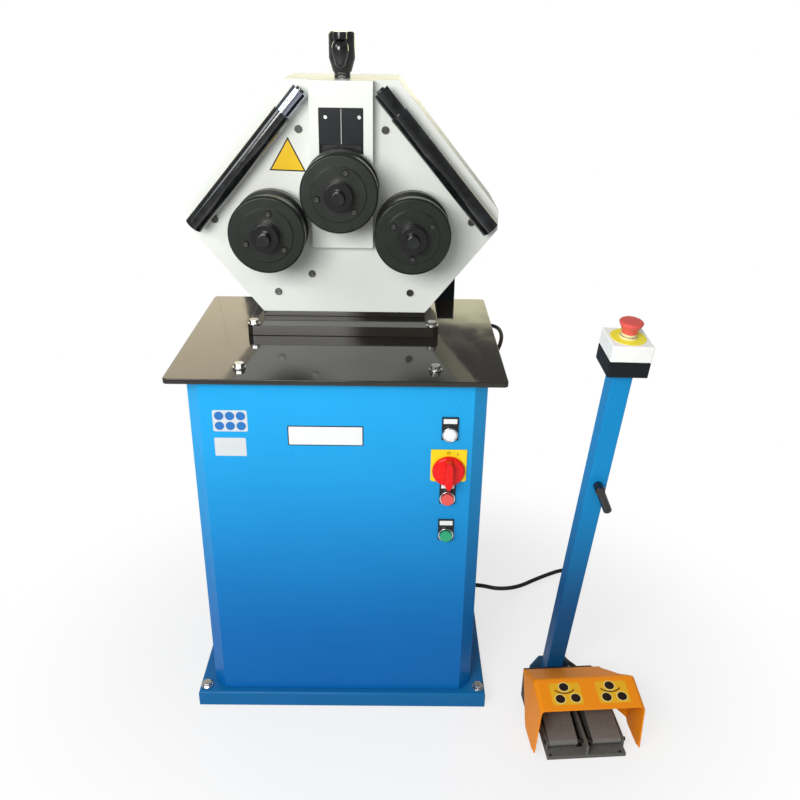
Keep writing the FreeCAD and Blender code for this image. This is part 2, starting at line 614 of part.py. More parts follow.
def plate_screw(spot, cap_start, stem_start):
    """Socket screw through a head plate at a spot given as x and height above the foot."""
    x, height = spot[0], HEAD_BASE + spot[1]
    return fuse(cylinder(dim.tie_screw, dim.tie_screw_head, (x, cap_start, height), "y"),
                cylinder(dim.bolt_radius, dim.plate_thickness, (x, stem_start, height), "y"))


def make_head():
    flange_front = dim.head_face - dim.flange_reach
    flange_rear = HEAD_REAR + dim.flange_tail
    half, bevel = dim.foot_half + dim.flange_ledge, dim.flange_bevel
    outline = [(bevel - half, flange_front), (half - bevel, flange_front), (half, flange_front + bevel),
               (half, flange_rear), (-half, flange_rear), (-half, flange_front + bevel)]
    node("base_flange", plate(outline, dim.flange_thickness, (0, 0, TABLE_TOP), "z",
                              [(x, y, dim.bolt_radius) for x, y in flange_spots()]))
    node("riser_plate", block((-dim.foot_half, dim.head_face, FLANGE_TOP),
                              (dim.foot_half, HEAD_REAR, HEAD_BASE)))

    bores = [(side * LOWER_X, dim.lower_rise, dim.bearing_radius) for side in (-1, 1)]
    screws = [(x, z, dim.bolt_radius) for x, z in tie_spots()]
    stop_screw = (-dim.stop_screw_x, dim.stop_screw_rise)
    face = plate(head_outline(), dim.plate_thickness, (0, dim.head_face, HEAD_BASE), "y",
                 bores + screws + [(*stop_screw, dim.bolt_radius)])
    window = block((-dim.window_half, dim.head_face - 1, HEAD_BASE + dim.window_low),
                   (dim.window_half, PLATE_REAR + 1, HEAD_BASE + dim.window_high))
    node("front_plate", cut(face, window))
    output = [(0, dim.lower_rise, dim.upper_bearing_radius)]
    node("back_plate", plate(head_outline(), dim.plate_thickness, (0, BACK_PLATE_FACE, HEAD_BASE), "y",
                             bores + screws + output))

    covers = plate(head_outline(), BACK_PLATE_FACE - PLATE_REAR, (0, PLATE_REAR, HEAD_BASE), "y")
    doc.recompute()
    pad = covers.Tip
    ends = [f"Face{number}" for number, side in enumerate(pad.Shape.Faces, start=1) if len(side.Edges) == 8]
    shell = covers.newObject("PartDesign::Thickness", "shell")
    shell.Base = (pad, ends)
    bind(shell, "Value", dim.cover_wall)
    shell.Join = 1
    shell.Reversed = 1
    opening = cylinder(dim.screw_radius + dim.screw_passage, dim.cover_wall * 3,
                       (0, SPINDLE_Y, HEAD_TOP - dim.cover_wall * 2))
    node("head_covers", cut(covers, opening))

    rods, heads = [], []
    front_ends = (dim.head_face - dim.tie_screw_head, dim.head_face)
    for x, z in tie_spots():
        height = HEAD_BASE + z
        rods.append(cylinder(dim.tie_radius, BACK_PLATE_FACE - PLATE_REAR, (x, PLATE_REAR, height), "y"))
        heads.append(plate_screw((x, z), *front_ends))
        heads.append(plate_screw((x, z), HEAD_REAR, BACK_PLATE_FACE))
    heads.append(plate_screw(stop_screw, *front_ends))
    node("tie_rods", group(*rods))
    node("plate_screws", group(*heads))

    bearings = [tube(dim.bearing_radius, dim.shaft_radius + dim.running_gap, dim.plate_thickness,
                     (side * LOWER_X, start, LOWER_Z), "y")
                for side in (-1, 1) for start in (dim.head_face, BACK_PLATE_FACE)]
    bearings.append(tube(dim.upper_bearing_radius, dim.pinion_radius + dim.running_gap, dim.plate_thickness,
                         (0, BACK_PLATE_FACE, LOWER_Z), "y"))
    node("shaft_bearings", group(*bearings))


# ---------------------------------------------------------------- slide, screw and crank

def make_slide():
    frame = block((-dim.frame_half, FRAME_FACE, HEAD_BASE + dim.frame_low),
                  (dim.frame_half, dim.head_face, HEAD_TOP))
    low, high = HEAD_BASE + dim.window_low, HEAD_BASE + dim.window_high
    window = block((-dim.window_half, FRAME_FACE - 1, low), (dim.window_half, dim.head_face + 1, high))
    node("slide_frame", cut(frame, window))

    gibs = [block((side_low, BLOCK_FACE, low), (side_high, PLATE_REAR, high))
            for side_low, side_high in ((-dim.window_half, dim.gib_thickness - dim.window_half),
                                        (dim.window_half - dim.gib_thickness, dim.window_half))]
    half_slit, shield_face = dim.shield_slit / 2, FRAME_FACE + 1
    shields = [block((left, shield_face, high - dim.shield_drop),
                     (right, shield_face + dim.shield_thickness, high))
               for left, right in ((-dim.window_half, -half_slit), (half_slit, dim.window_half))]
    node("slide_gibs", group(*gibs, *shields))

    solid = block((-BLOCK_HALF, BLOCK_FACE, HEAD_BASE + dim.block_low),
                  (BLOCK_HALF, BLOCK_REAR, HEAD_BASE + dim.block_high))
    through = cylinder(dim.shaft_radius + 0.5, dim.block_depth, (0, BLOCK_FACE, UPPER_Z), "y")
    seat_starts = (BLOCK_FACE, BLOCK_REAR - dim.plate_thickness)
    seats = [cylinder(dim.upper_bearing_radius, dim.plate_thickness, (0, start, UPPER_Z), "y")
             for start in seat_starts]
    thread = cylinder(dim.screw_radius + dim.running_gap, HEAD_BASE + dim.block_high - THREAD_FLOOR + 1,
                      (0, SPINDLE_Y, THREAD_FLOOR))
    node("slide_block", cut(solid, through, *seats, thread))
    rings = [tube(dim.upper_bearing_radius, dim.shaft_radius + dim.running_gap, dim.plate_thickness,
                  (0, start, UPPER_Z), "y") for start in seat_starts]
    node("upper_bearings", group(*rings))


def make_crank():
    ceiling = HEAD_TOP - dim.cover_wall
    block_floor = ceiling - dim.screw_block_height
    carrier = block((-dim.frame_half, PLATE_REAR, block_floor),
                    (dim.frame_half, SPINDLE_Y + dim.carrier_reach, ceiling))
    bore = cylinder(dim.screw_radius + dim.running_gap, dim.screw_block_height * 2,
                    (0, SPINDLE_Y, block_floor - 10))
    node("screw_carrier", cut(carrier, bore))

    nuts_top = HEAD_TOP + dim.nut_height * 2
    hub_floor = nuts_top + dim.crank_taper
    hub_top = hub_floor + dim.crank_hub_height
    collar_floor = block_floor - dim.rest_gap - dim.screw_collar_height
    screw = fuse(cylinder(dim.screw_radius, hub_floor - SCREW_FOOT, (0, SPINDLE_Y, SCREW_FOOT)),
                 cylinder(dim.screw_collar, dim.screw_collar_height, (0, SPINDLE_Y, collar_floor)))
    node("lead_screw", screw)
    nuts = [cut(hexagon(dim.nut_radius * math.sqrt(3), dim.nut_height - dim.rest_gap,
                        (0, SPINDLE_Y, HEAD_TOP + dim.rest_gap + dim.nut_height * place)),
                cylinder(dim.screw_radius, dim.nut_height * 2,
                         (0, SPINDLE_Y, HEAD_TOP + dim.nut_height * place)))
            for place in (0, 1)]

    hub = turned([(dim.screw_radius, 0), (dim.crank_neck, 0), (dim.crank_hub_radius, dim.crank_taper),
                  (dim.crank_hub_radius, dim.crank_taper + dim.crank_hub_height - 4),
                  (dim.crank_hub_radius - 4, dim.crank_taper + dim.crank_hub_height),
                  (0, dim.crank_taper + dim.crank_hub_height), (0, dim.crank_taper),
                  (dim.screw_radius, dim.crank_taper)], (0, SPINDLE_Y, nuts_top))
    ear_floor = hub_top - dim.grip_drop
    ear_y = SPINDLE_Y - dim.grip_reach
    ear = fuse(block((-dim.grip_stem * 2, ear_y, ear_floor), (dim.grip_stem * 2, SPINDLE_Y, hub_top)),
               cylinder(dim.grip_stem * 2, dim.grip_drop, (0, ear_y, ear_floor)))
    pin_floor = ear_floor - dim.grip_height - 2
    pin = cylinder(dim.grip_stem, hub_top - pin_floor, (0, ear_y, pin_floor))
    node("crank_hub", group(fuse(hub, ear, pin), *nuts))

    knob = turned([(dim.grip_stem + dim.running_gap, 0), (dim.grip_radius * 0.55, 0),
                   (dim.grip_radius * 0.8, dim.grip_height * 0.3), (dim.grip_radius, dim.grip_height * 0.62),
                   (dim.grip_radius * 0.93, dim.grip_height * 0.85),
                   (dim.grip_radius * 0.65, dim.grip_height - dim.rest_gap),
                   (dim.grip_stem + dim.running_gap, dim.grip_height - dim.rest_gap)],
                  (0, ear_y, ear_floor - dim.grip_height))
    node("crank_knob", knob)


# ---------------------------------------------------------------- rollers and gears

def roller_set(label, x, z, shaft_end, first_screw):
    """Shaft, two discs with hub cap and screws, and the ring between the discs."""
    cap_face = ROLLER_FACE - dim.hub_length
    nub_face = cap_face - dim.nub_length
    collar_rear = BLOCK_FACE if x == 0 else dim.head_face
    shoulder = collar_rear - ROLLER_REAR - dim.collar_gap
    front, rear = ROLLER_FACE - nub_face, ROLLER_REAR - nub_face
    profile = [(0, 0), (dim.nub_radius, 0), (dim.nub_radius, front), (dim.shaft_radius, front),
               (dim.shaft_radius, rear), (dim.collar_radius, rear), (dim.collar_radius, rear + shoulder),
               (dim.shaft_radius, rear + shoulder), (dim.shaft_radius, shaft_end - nub_face),
               (0, shaft_end - nub_face)]
    node(f"{label}_shaft", turned(profile, (x, nub_face, z), "y"))

    edge, radius, bore, width = dim.roller_edge, dim.roller_radius, dim.shaft_radius, dim.disc_width
    boss = dim.boss_height
    front = turned([(bore, 0), (dim.boss_radius, 0), (dim.boss_radius, boss), (radius - edge, boss),
                    (radius, boss + edge), (radius, width), (bore, width)], (x, ROLLER_FACE, z), "y")
    rear = turned([(bore, 0), (radius, 0), (radius, width - edge), (radius - edge, width), (bore, width)],
                  (x, ROLLER_REAR - width, z), "y")
    cap = tube(dim.hub_radius, dim.nub_radius, dim.hub_length, (x, cap_face, z), "y")
    screws, pockets = [], []
    for third in range(3):
        angle = math.radians(first_screw + 120 * third)
        sx, sz = x + dim.screw_circle * math.cos(angle), z + dim.screw_circle * math.sin(angle)
        pockets.append(cylinder(dim.screw_head_radius, dim.screw_head, (sx, ROLLER_FACE, sz), "y"))
        head = cylinder(dim.screw_head_radius, dim.screw_head + 1, (sx, ROLLER_FACE - 1, sz), "y")
        socket = hexagon(dim.screw_head_radius, 3, (sx, ROLLER_FACE - 1, sz), "y")
        screws.append(cut(head, socket))
    node(f"{label}_discs", group(cut(front, *pockets), rear, cap, *screws))
    ring = tube(dim.ring_radius, dim.shaft_radius, dim.ring_width, (x, ROLLER_FACE + width, z), "y")
    node(f"{label}_ring", ring)


def involute_angle(base, radius):
    """Polar angle that an involute of the base circle has swept at a radius."""
    if radius <= base:
        return 0.0
    return math.sqrt((radius / base) ** 2 - 1) - math.acos(base / radius)


def gear_points(teeth, module, first_angle):
    """Corners of a spur gear: each flank is two straight runs through points of the true involute."""
    pitch = module * teeth / 2
    base = pitch * math.cos(math.radians(PRESSURE_ANGLE))
    root, tip = pitch - ROOT_DEPTH * module, pitch + 0.94 * module
    half_tooth = math.pi / (2 * teeth) - BACKLASH * module / pitch
    swept = involute_angle(base, pitch)
    levels = (root, max(base, root), pitch, tip)
    points = []
    for tooth in range(teeth):
        middle = first_angle + 2 * math.pi * tooth / teeth
        flank = [(radius, half_tooth + swept - involute_angle(base, radius)) for radius in levels]
        corners = [(radius, middle - offset) for radius, offset in flank]
        corners += [(radius, middle + offset) for radius, offset in reversed(flank)]
        points += [(radius * math.cos(angle), radius * math.sin(angle)) for radius, angle in corners]
    return points


def gear_shape(teeth, first_angle, bore, x):
    points = [FreeCAD.Vector(u + x.value, GEAR_FACE.value, v + LOWER_Z.value)
              for u, v in gear_points(teeth, dim.gear_module.value, first_angle)]
    outline = Part.Face(Part.makePolygon(points + points[:1]))
    blank = outline.extrude(FreeCAD.Vector(0, dim.gear_width.value, 0))
    centre = FreeCAD.Vector(x.value, GEAR_FACE.value, LOWER_Z.value)
    along = FreeCAD.Vector(0, 1, 0)
    return blank.cut(Part.makeCylinder(bore.value, dim.gear_width.value, centre, along)) if bore else blank


def make_gears():
    """Two equal gears on the lower shafts, both driven by the pinion between them."""
    half_pitch = math.pi / GEAR_TEETH
    for (label, side), first in zip(SIDES, (half_pitch, math.pi + half_pitch)):
        gear = doc.addObject("Part::Feature", "gear")
        gear.Shape = gear_shape(GEAR_TEETH, first, dim.shaft_radius, side * LOWER_X)
        node(f"{label}_gear", gear)
    pinion = doc.addObject("Part::Feature", "pinion_teeth")
    pinion.Shape = gear_shape(PINION_TEETH, 0.0, None, sized(0))
    start = GEAR_FACE - 5
    length = HEAD_REAR + dim.neck_length + dim.wheel_case_length * 0.8 - start
    shaft = cylinder(dim.pinion_radius, length, (0, start, LOWER_Z), "y")
    node("drive_pinion", fuse(pinion, shaft))


def make_drive():
    neck_rear = HEAD_REAR + dim.neck_length
    case_rear = neck_rear + dim.wheel_case_length
    worm_half = dim.wheel_case_radius
    flange_top = LOWER_Z - worm_half
    housing = fuse(cylinder(dim.neck_radius, dim.neck_length + 1, (0, HEAD_REAR, LOWER_Z), "y"),
                   cylinder(dim.wheel_case_radius, dim.wheel_case_length, (0, neck_rear, LOWER_Z), "y"),
                   cylinder(dim.worm_case_radius, worm_half * 2, (dim.worm_offset, MOTOR_Y, flange_top)),
                   block((0, MOTOR_Y - dim.worm_case_radius, flange_top + 8),
                         (dim.worm_offset, MOTOR_Y + dim.worm_case_radius, LOWER_Z + worm_half - 8)),
                   cylinder(dim.motor_flange_radius, dim.motor_flange,
                            (dim.worm_offset, MOTOR_Y, flange_top - dim.motor_flange)))
    bore = cylinder(dim.pinion_radius + dim.running_gap, case_rear - HEAD_REAR - 10,
                    (0, HEAD_REAR - 1, LOWER_Z), "y")
    node("gearbox", cut(housing, bore))

    x = dim.worm_offset
    frame = cylinder(dim.motor_radius, dim.motor_length, (x, MOTOR_Y, MOTOR_LOW))
    fan_low = MOTOR_LOW - dim.fan_cover_length
    fan_cover = turned([(0, 0), (dim.motor_radius - 6, 0), (dim.motor_radius + 2, 8),
                        (dim.motor_radius + 2, dim.fan_cover_length), (0, dim.fan_cover_length)],
                       (x, MOTOR_Y, fan_low))
    node("motor", group(frame, fan_cover))
    side, middle = x + dim.motor_radius, MOTOR_Y - dim.terminal_forward
    half_depth, half_height = dim.terminal_depth / 2, dim.terminal_height / 2
    shell = block((side - 12, middle - half_depth, TERMINAL_Z - half_height),
                  (side + dim.terminal_width, middle + half_depth, TERMINAL_Z + half_height))
    node("terminal_box", cut(shell, cylinder(dim.motor_radius, dim.motor_length, (x, MOTOR_Y, MOTOR_LOW))))


def bar_ends():
    """Upper and lower end of the right guide bar's axis, as x and z."""
    top = (dim.bar_top_x, HEAD_BASE + dim.bar_top_rise)
    low = (dim.bar_low_x, HEAD_BASE + dim.bar_low_rise)
    return top, low


def make_guide_bars():
    """Two slanting round bars, each with a thinner neck at its top, carried on studs from the head's face."""
    top, low = bar_ends()
    run, rise = low[0] - top[0], top[1] - low[1]
    length, lean = hypotenuse(run, rise), slope(run, rise)
    stud_start = ROLLER_REAR + dim.bar_neck - 2
    pieces = []
    for _, side in SIDES:
        turn = ((0, 1, 0), lean * -side)
        places = {}
        for name, distance in (("low", sized(0)), ("neck", length - dim.bar_neck_length),
                               ("low stud", dim.bracket_inset), ("high stud", length - dim.bracket_inset)):
            share = distance / length
            places[name] = (side * (low[0] - run * share), ROLLER_REAR, low[1] + rise * share)
        bar = cylinder(dim.bar_radius, length - dim.bar_neck_length, places["low"], turn=turn)
        neck = cylinder(dim.bar_neck, dim.bar_neck_length, places["neck"], turn=turn)
        studs, seats = [], []
        for name in ("low stud", "high stud"):
            spot = (places[name][0], stud_start, places[name][2])
            studs.append(cylinder(dim.bracket_radius, dim.head_face - stud_start, spot, "y"))
            seats.append(cylinder(dim.bracket_radius, dim.bar_radius, spot, "y"))
        pieces += [cut(fuse(bar, neck), *seats), *studs]
    node("guide_bars", group(*pieces))


# ---------------------------------------------------------------- foot switch and stop post

def framed(item, turn_fields, at):
    """Wrap a piece that is built in a frame of its own and give it that frame's place and turn."""
    whole = doc.addObject("Part::Compound", "framed")
    whole.Links = [item]
    rotation = FreeCAD.Rotation(*[sized(turn_fields[name]).value for name in ("Yaw", "Pitch", "Roll")])
    whole.Placement = FreeCAD.Placement(FreeCAD.Vector(at[0].value, at[1].value, 0), rotation)
    bind(whole, "Placement.Base.x", at[0])
    bind(whole, "Placement.Base.y", at[1])
    for name, angle in turn_fields.items():
        bind(whole, f"Placement.Rotation.{name}", angle)
    return whole


def at_pedal(item):
    """The foot switch's frame: origin at the middle of its front edge on the floor."""
    return framed(item, {"Yaw": dim.pedal_turn, "Pitch": 0, "Roll": 0}, (dim.pedal_x, dim.pedal_y))


def at_post(item):
    """The stop post's frame: foot at the origin, +Z along the leaning post."""
    angles = {"Yaw": dim.pedal_turn, "Pitch": dim.post_right, "Roll": dim.post_forward}
    return framed(item, angles, (dim.post_x, dim.post_y))


def make_pedal_base():
    half, depth = dim.base_width / 2, dim.base_depth
    housing_front = depth - dim.housing_depth
    hood_left, hood_right = dim.hood_x - dim.hood_width / 2, dim.hood_x + dim.hood_width / 2
    left, right = hood_left + dim.hood_wall, hood_right - dim.hood_wall
    housing = [(left, 0), (right, 0), (right, dim.housing_side),
               (dim.housing_shoulder, dim.housing_height), (left, dim.housing_height)]
    pieces = [block((-half, 0, 0), (half, depth, dim.base_floor)),
              block((-dim.rib_width / 2, 0, 0), (dim.rib_width / 2, housing_front + 1, dim.rib_height)),
              plate(housing, dim.housing_depth, (0, housing_front, 0), "y")]
    for start, end in ((-half, dim.base_wall - half), (half - dim.base_wall, half)):
        pieces.append(block((start, dim.pivot_y - dim.knuckle_radius, 0), (end, depth, dim.base_side_height)))
    pin_spot = (-dim.base_width, dim.pivot_y, dim.pivot_z)
    pin_bore = cylinder(dim.pivot_radius, dim.base_width * 2, pin_spot, "x")
    node("pedal_base", at_pedal(cut(fuse(*pieces), pin_bore)))
    pin = cylinder(dim.pivot_radius, dim.base_width + 6, (-half - 3, dim.pivot_y, dim.pivot_z), "x")
    node("pedal_pin", at_pedal(pin))


def make_pedals():
    """Two treadles that hinge at the heel; each has a knuckle along the whole of its front edge."""
    inner = dim.rib_width / 2 + dim.pad_gap
    top = dim.pivot_z + dim.knuckle_radius
    for label, side in SIDES:
        start = inner if side > 0 else -inner - dim.pad_width
        spot = (start, dim.pivot_y, dim.pivot_z)
        pad = box((dim.pad_width, dim.pad_length, dim.pad_thickness),
                  (start, dim.pivot_y, top - dim.pad_thickness), ((1, 0, 0), dim.pad_slope))
        knuckle = cylinder(dim.knuckle_radius, dim.pad_width, spot, "x")
        bore = cylinder(dim.pivot_radius + dim.running_gap, dim.pad_width, spot, "x")
        node(f"{label}_pedal", at_pedal(cut(fuse(pad, knuckle), bore)))


def make_hood():
    wall = dim.hood_wall
    left = dim.hood_x - dim.hood_width / 2
    reach = 40
    fall = (dim.ridge_z - dim.visor_z) / (dim.ridge_y - dim.visor_y)
    drop = (dim.ridge_z - dim.hood_tail_z) / (dim.hood_tail_y - dim.ridge_y)
    outer = plate([(dim.visor_y, dim.visor_z), (dim.visor_y - 6, dim.hood_skirt_z + dim.skirt_lift),
                   (dim.visor_y + 8, dim.hood_skirt_z), (dim.visor_y + dim.skirt_run, dim.hood_skirt_z),
                   (dim.hood_tail_y, dim.hood_tail_z - wall * 1.2), (dim.hood_tail_y, dim.hood_tail_z),
                   (dim.ridge_y, dim.ridge_z)], dim.hood_width, (left, 0, 0), "x")
    inside = plate([(dim.visor_y - reach, dim.visor_z - wall - fall * reach), (dim.visor_y - reach, -reach),
                    (dim.hood_tail_y + reach, -reach),
                    (dim.hood_tail_y + reach, dim.hood_tail_z - wall * 1.2 - drop * reach),
                    (dim.ridge_y, dim.ridge_z - wall * 1.1)],
                   dim.hood_width - wall * 2, (left + wall, 0, 0), "x")
    node("pedal_hood", at_pedal(cut(outer, inside)))


def make_post_bracket():
    """Foot plate under the post, and an upright plate with cut corners behind the post."""
    half, depth, corner = dim.bracket_width / 2, dim.base_depth, dim.bracket_corner
    shoulder = dim.bracket_height - corner * 1.5
    outline = [(-half, 0), (half, 0), (half, shoulder), (half - corner, dim.bracket_height),
               (corner - half, dim.bracket_height), (-half, shoulder)]
    back = plate(outline, dim.bracket_wall,
                 (dim.bracket_x, depth + dim.bracket_foot - dim.bracket_wall, 0), "y")
    foot = block((dim.bracket_x - half, depth, 0),
                 (dim.bracket_x + half, depth + dim.bracket_foot, dim.bracket_wall))
    node("post_bracket", at_pedal(fuse(back, foot)))


def make_post():
    half, wall = dim.post_side / 2, dim.post_wall
    foot = dim.bracket_wall + dim.post_lift
    hollow = block((wall - half, wall - half, foot - 1), (half - wall, half - wall, dim.post_length + 1))
    hole = cylinder(dim.clamp_screw + dim.running_gap, dim.post_side / 2,
                    (0, -half - 1, dim.clamp_height), "y")
    node("stop_post", at_post(cut(block((-half, -half, foot), (half, half, dim.post_length)), hollow, hole)))

    hub_front = -half - dim.running_gap * 4 - dim.clamp_hub_length
    hub = cylinder(dim.clamp_hub, dim.clamp_hub_length, (0, hub_front, dim.clamp_height), "y")
    screw = cylinder(dim.clamp_screw, dim.clamp_hub_length + wall + 5, (0, hub_front, dim.clamp_height), "y")
    grip = cylinder(dim.clamp_grip_radius, dim.clamp_grip,
                    (0, hub_front + dim.clamp_hub_length / 2, dim.clamp_height),
                    turn=((0, 1, 0), dim.clamp_lean))
    node("clamp_lever", at_post(fuse(hub, screw, grip)))


def make_stop_box():
    side, wall = dim.stop_side / 2, dim.stop_wall
    low = dim.post_length
    seam = low + dim.stop_base
    top = seam + dim.stop_lid
    base = cut(block((-side, -side, low), (side, side, seam)),
               block((wall - side, wall - side, low + wall), (side - wall, side - wall, seam + 1)))
    node("stop_box_base", at_post(base))
    lid = cut(block((-side, -side, seam), (side, side, top)),
              block((wall - side, wall - side, seam - 1), (side - wall, side - wall, top - wall)),
              cylinder(dim.stop_stem + dim.running_gap, wall * 3, (0, 0, top - wall * 2)))
    node("stop_box_lid", at_post(lid))
    height, radius = dim.mushroom_height, dim.mushroom_radius
    stem_foot = -dim.mushroom_gap - 14
    mushroom = turned([(0, stem_foot), (dim.stop_stem, stem_foot), (dim.stop_stem, 0), (dim.mushroom_neck, 0),
                       (dim.mushroom_neck, height * 0.36), (radius, height * 0.84), (radius, height * 0.92),
                       (radius * 0.8, height), (0, height)], (0, 0, top + dim.mushroom_gap))
    node("stop_mushroom", at_post(mushroom))


# ---------------------------------------------------------------- cables

SIDE_GLANDS = ((dim.pedal_gland_y, dim.pedal_gland_z), (dim.motor_gland_y, dim.motor_gland_z))

# From the gland on the cabinet's right side over the plinth, along the floor and round to the foot switch.
PEDAL_CORD_ROUTE = (
    (282.0, 95.0, 72.0), (306.0, 95.0, 72.0), (329.0, 101.0, 64.0), (350.0, 114.0, 49.0),
    (368.0, 133.0, 33.0), (388.0, 153.0, 18.0), (410.0, 170.0, 8.0), (436.0, 184.0, 5.3),
    (470.0, 207.0, 5.3), (507.0, 229.0, 5.3), (543.0, 248.0, 5.3), (577.0, 252.0, 5.3),
    (602.0, 233.0, 5.3), (605.0, 202.0, 5.3), (589.0, 170.0, 5.3), (567.0, 123.0, 5.3),
    (541.0, 74.0, 5.3), (519.0, 25.0, 5.3), (502.0, -23.0, 5.3), (497.0, -65.0, 5.3),
    (503.0, -95.0, 8.0), (509.5, -119.0, 16.0), (513.42, -143.69, 24.0), (515.21, -168.62, 24.0),
)

# From under the terminal box out past the cabinet's rear corner and into its right side.
MOTOR_CABLE_ROUTE = (
    (214.0, 300.0, 726.0), (214.0, 300.0, 704.0), (222.0, 293.0, 684.0), (238.0, 278.0, 671.0),
    (260.0, 257.0, 670.0), (281.0, 232.0, 679.0), (298.0, 202.0, 692.0), (311.0, 169.0, 702.0),
    (321.0, 133.0, 707.0), (329.0, 97.0, 706.0), (333.0, 64.0, 702.0), (329.0, 37.0, 697.0),
    (316.0, 17.0, 693.0), (297.0, 5.0, 690.0), (276.0, 5.0, 690.0),
)


def rounded_path(points):
    """Straight runs joined by tangent arcs, each arc as large as its two runs allow."""
    spots = [FreeCAD.Vector(*point) for point in points]
    edges, start, radii = [], spots[0], []
    for before, corner, after in zip(spots, spots[1:], spots[2:]):
        back, ahead = before - corner, after - corner
        reach = 0.45 * min(back.Length, ahead.Length)
        half_turn = (math.pi - back.getAngle(ahead)) / 2
        radii.append(reach / math.tan(half_turn))
        enter = corner + FreeCAD.Vector(back).normalize() * reach
        leave = corner + FreeCAD.Vector(ahead).normalize() * reach
        inward = (FreeCAD.Vector(back).normalize() + FreeCAD.Vector(ahead).normalize()).normalize()
        middle = corner + inward * radii[-1] * (1 / math.cos(half_turn) - 1)
        edges += [Part.LineSegment(start, enter).toShape(), Part.Arc(enter, middle, leave).toShape()]
        start = leave
    edges.append(Part.LineSegment(start, spots[-1]).toShape())
    return Part.Wire(edges), radii


def make_cable(label, points, diameter):
    path, radii = rounded_path(points)
    direction = FreeCAD.Vector(*points[1]) - FreeCAD.Vector(*points[0])
    ring = Part.Wire(Part.makeCircle(diameter.value / 2, FreeCAD.Vector(*points[0]), direction))
    cable = doc.addObject("Part::Feature", "cable")
    cable.Shape = path.makePipeShell([ring], True, False)
    node(label, cable)
    section = math.pi * diameter.value ** 2 / 4
    print(f"{label}: length {path.Length:.1f}, volume over section times length "
          f"{cable.Shape.Volume / (section * path.Length):.4f}")
    print("  radii in diameters:", " ".join(f"{radius / diameter.value:.1f}" for radius in radii))


def gland(length, at, axis="x"):
    """Gland body outside the wall and its thread through the wall, along one axis."""
    x, y, z = at
    wall = dim.cabinet_wall
    starts = {"x": (x - wall, y, z), "y": (x, y - wall, z), "z": (x, y, z - wall)}
    thread = cylinder(dim.thread_radius, wall, starts[axis], axis)
    return fuse(cylinder(dim.gland_radius, length, at, axis), thread)


def make_glands():
    (pedal_y, pedal_z), (motor_y, motor_z) = SIDE_GLANDS
    inlet = fuse(cylinder(dim.gland_radius, dim.inlet_length - dim.cabinet_wall,
                          (dim.inlet_x, CABINET_REAR, dim.inlet_z), "y"),
                 cylinder(dim.thread_radius, dim.inlet_length,
                          (dim.inlet_x, CABINET_REAR - dim.cabinet_wall, dim.inlet_z), "y"))
    inlet_bore = cylinder(dim.inlet_radius, dim.inlet_length,
                          (dim.inlet_x, CABINET_REAR - dim.cabinet_wall, dim.inlet_z), "y")
    box_floor = TERMINAL_Z - dim.terminal_height / 2
    box_tip = box_floor - (dim.gland_length - 1)
    node("cable_glands", group(
        gland(dim.gland_length, (CABINET_SIDE, pedal_y, pedal_z)),
        gland(dim.short_gland, (CABINET_SIDE, motor_y, motor_z)),
        cut(inlet, inlet_bore),
        cylinder(dim.gland_radius, dim.gland_length - 1,
                 (dim.box_gland_x, MOTOR_Y - dim.terminal_forward, box_tip)),
        at_pedal(cylinder(dim.gland_radius, dim.gland_length,
                          (dim.base_inlet_x, dim.base_depth, dim.base_inlet_z), "y"))))


# ---------------------------------------------------------------- assembly

def make_rollers():
    shaft_end = HEAD_REAR - 1
    for (label, side), first_screw in zip(SIDES, LOWER_FIRST_SCREWS):
        roller_set(label, side * LOWER_X, LOWER_Z, shaft_end, first_screw)
    roller_set("upper", 0, UPPER_Z, BLOCK_REAR - 1, UPPER_FIRST_SCREW)


def check_document():
    """Stop if any object failed or any sub-part has no sound shape."""
    failed = [item.Name for item in doc.Objects if "Invalid" in item.State or "Error" in item.State]
    unsound = [label for label, item in nodes.items() if item.Shape.isNull() or not item.Shape.isValid()]
    hollow = [label for label, item in nodes.items() if not item.Shape.Solids]
    if failed or unsound or hollow:
        raise RuntimeError(f"failed {failed}, unsound {unsound}, without a solid {hollow}")


bolts = make_plinth() + make_table()
node("hex_bolts", group(*bolts))
make_cabinet()
make_door()
make_electrics()
make_controls()
make_head()
make_slide()
make_crank()
make_rollers()
make_gears()
make_drive()
make_guide_bars()
make_pedal_base()
make_pedals()
make_hood()
make_post_bracket()
make_post()
make_stop_box()
make_cable("pedal_cord", PEDAL_CORD_ROUTE, dim.pedal_cord_diameter)
make_cable("motor_cable", MOTOR_CABLE_ROUTE, dim.motor_cable_diameter)
make_glands()

doc.recompute()
check_document()
os.makedirs("parts", exist_ok=True)
for label, item in nodes.items():
    item.Shape.exportStep(f"parts/{label}.step")
print(len(nodes), "sub-parts written")
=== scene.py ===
"""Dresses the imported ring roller: finishes, broken edges, screws, plates, hood, cables, floor and light."""

import json
import math

import bmesh
import bpy
from mathutils import Matrix, Vector

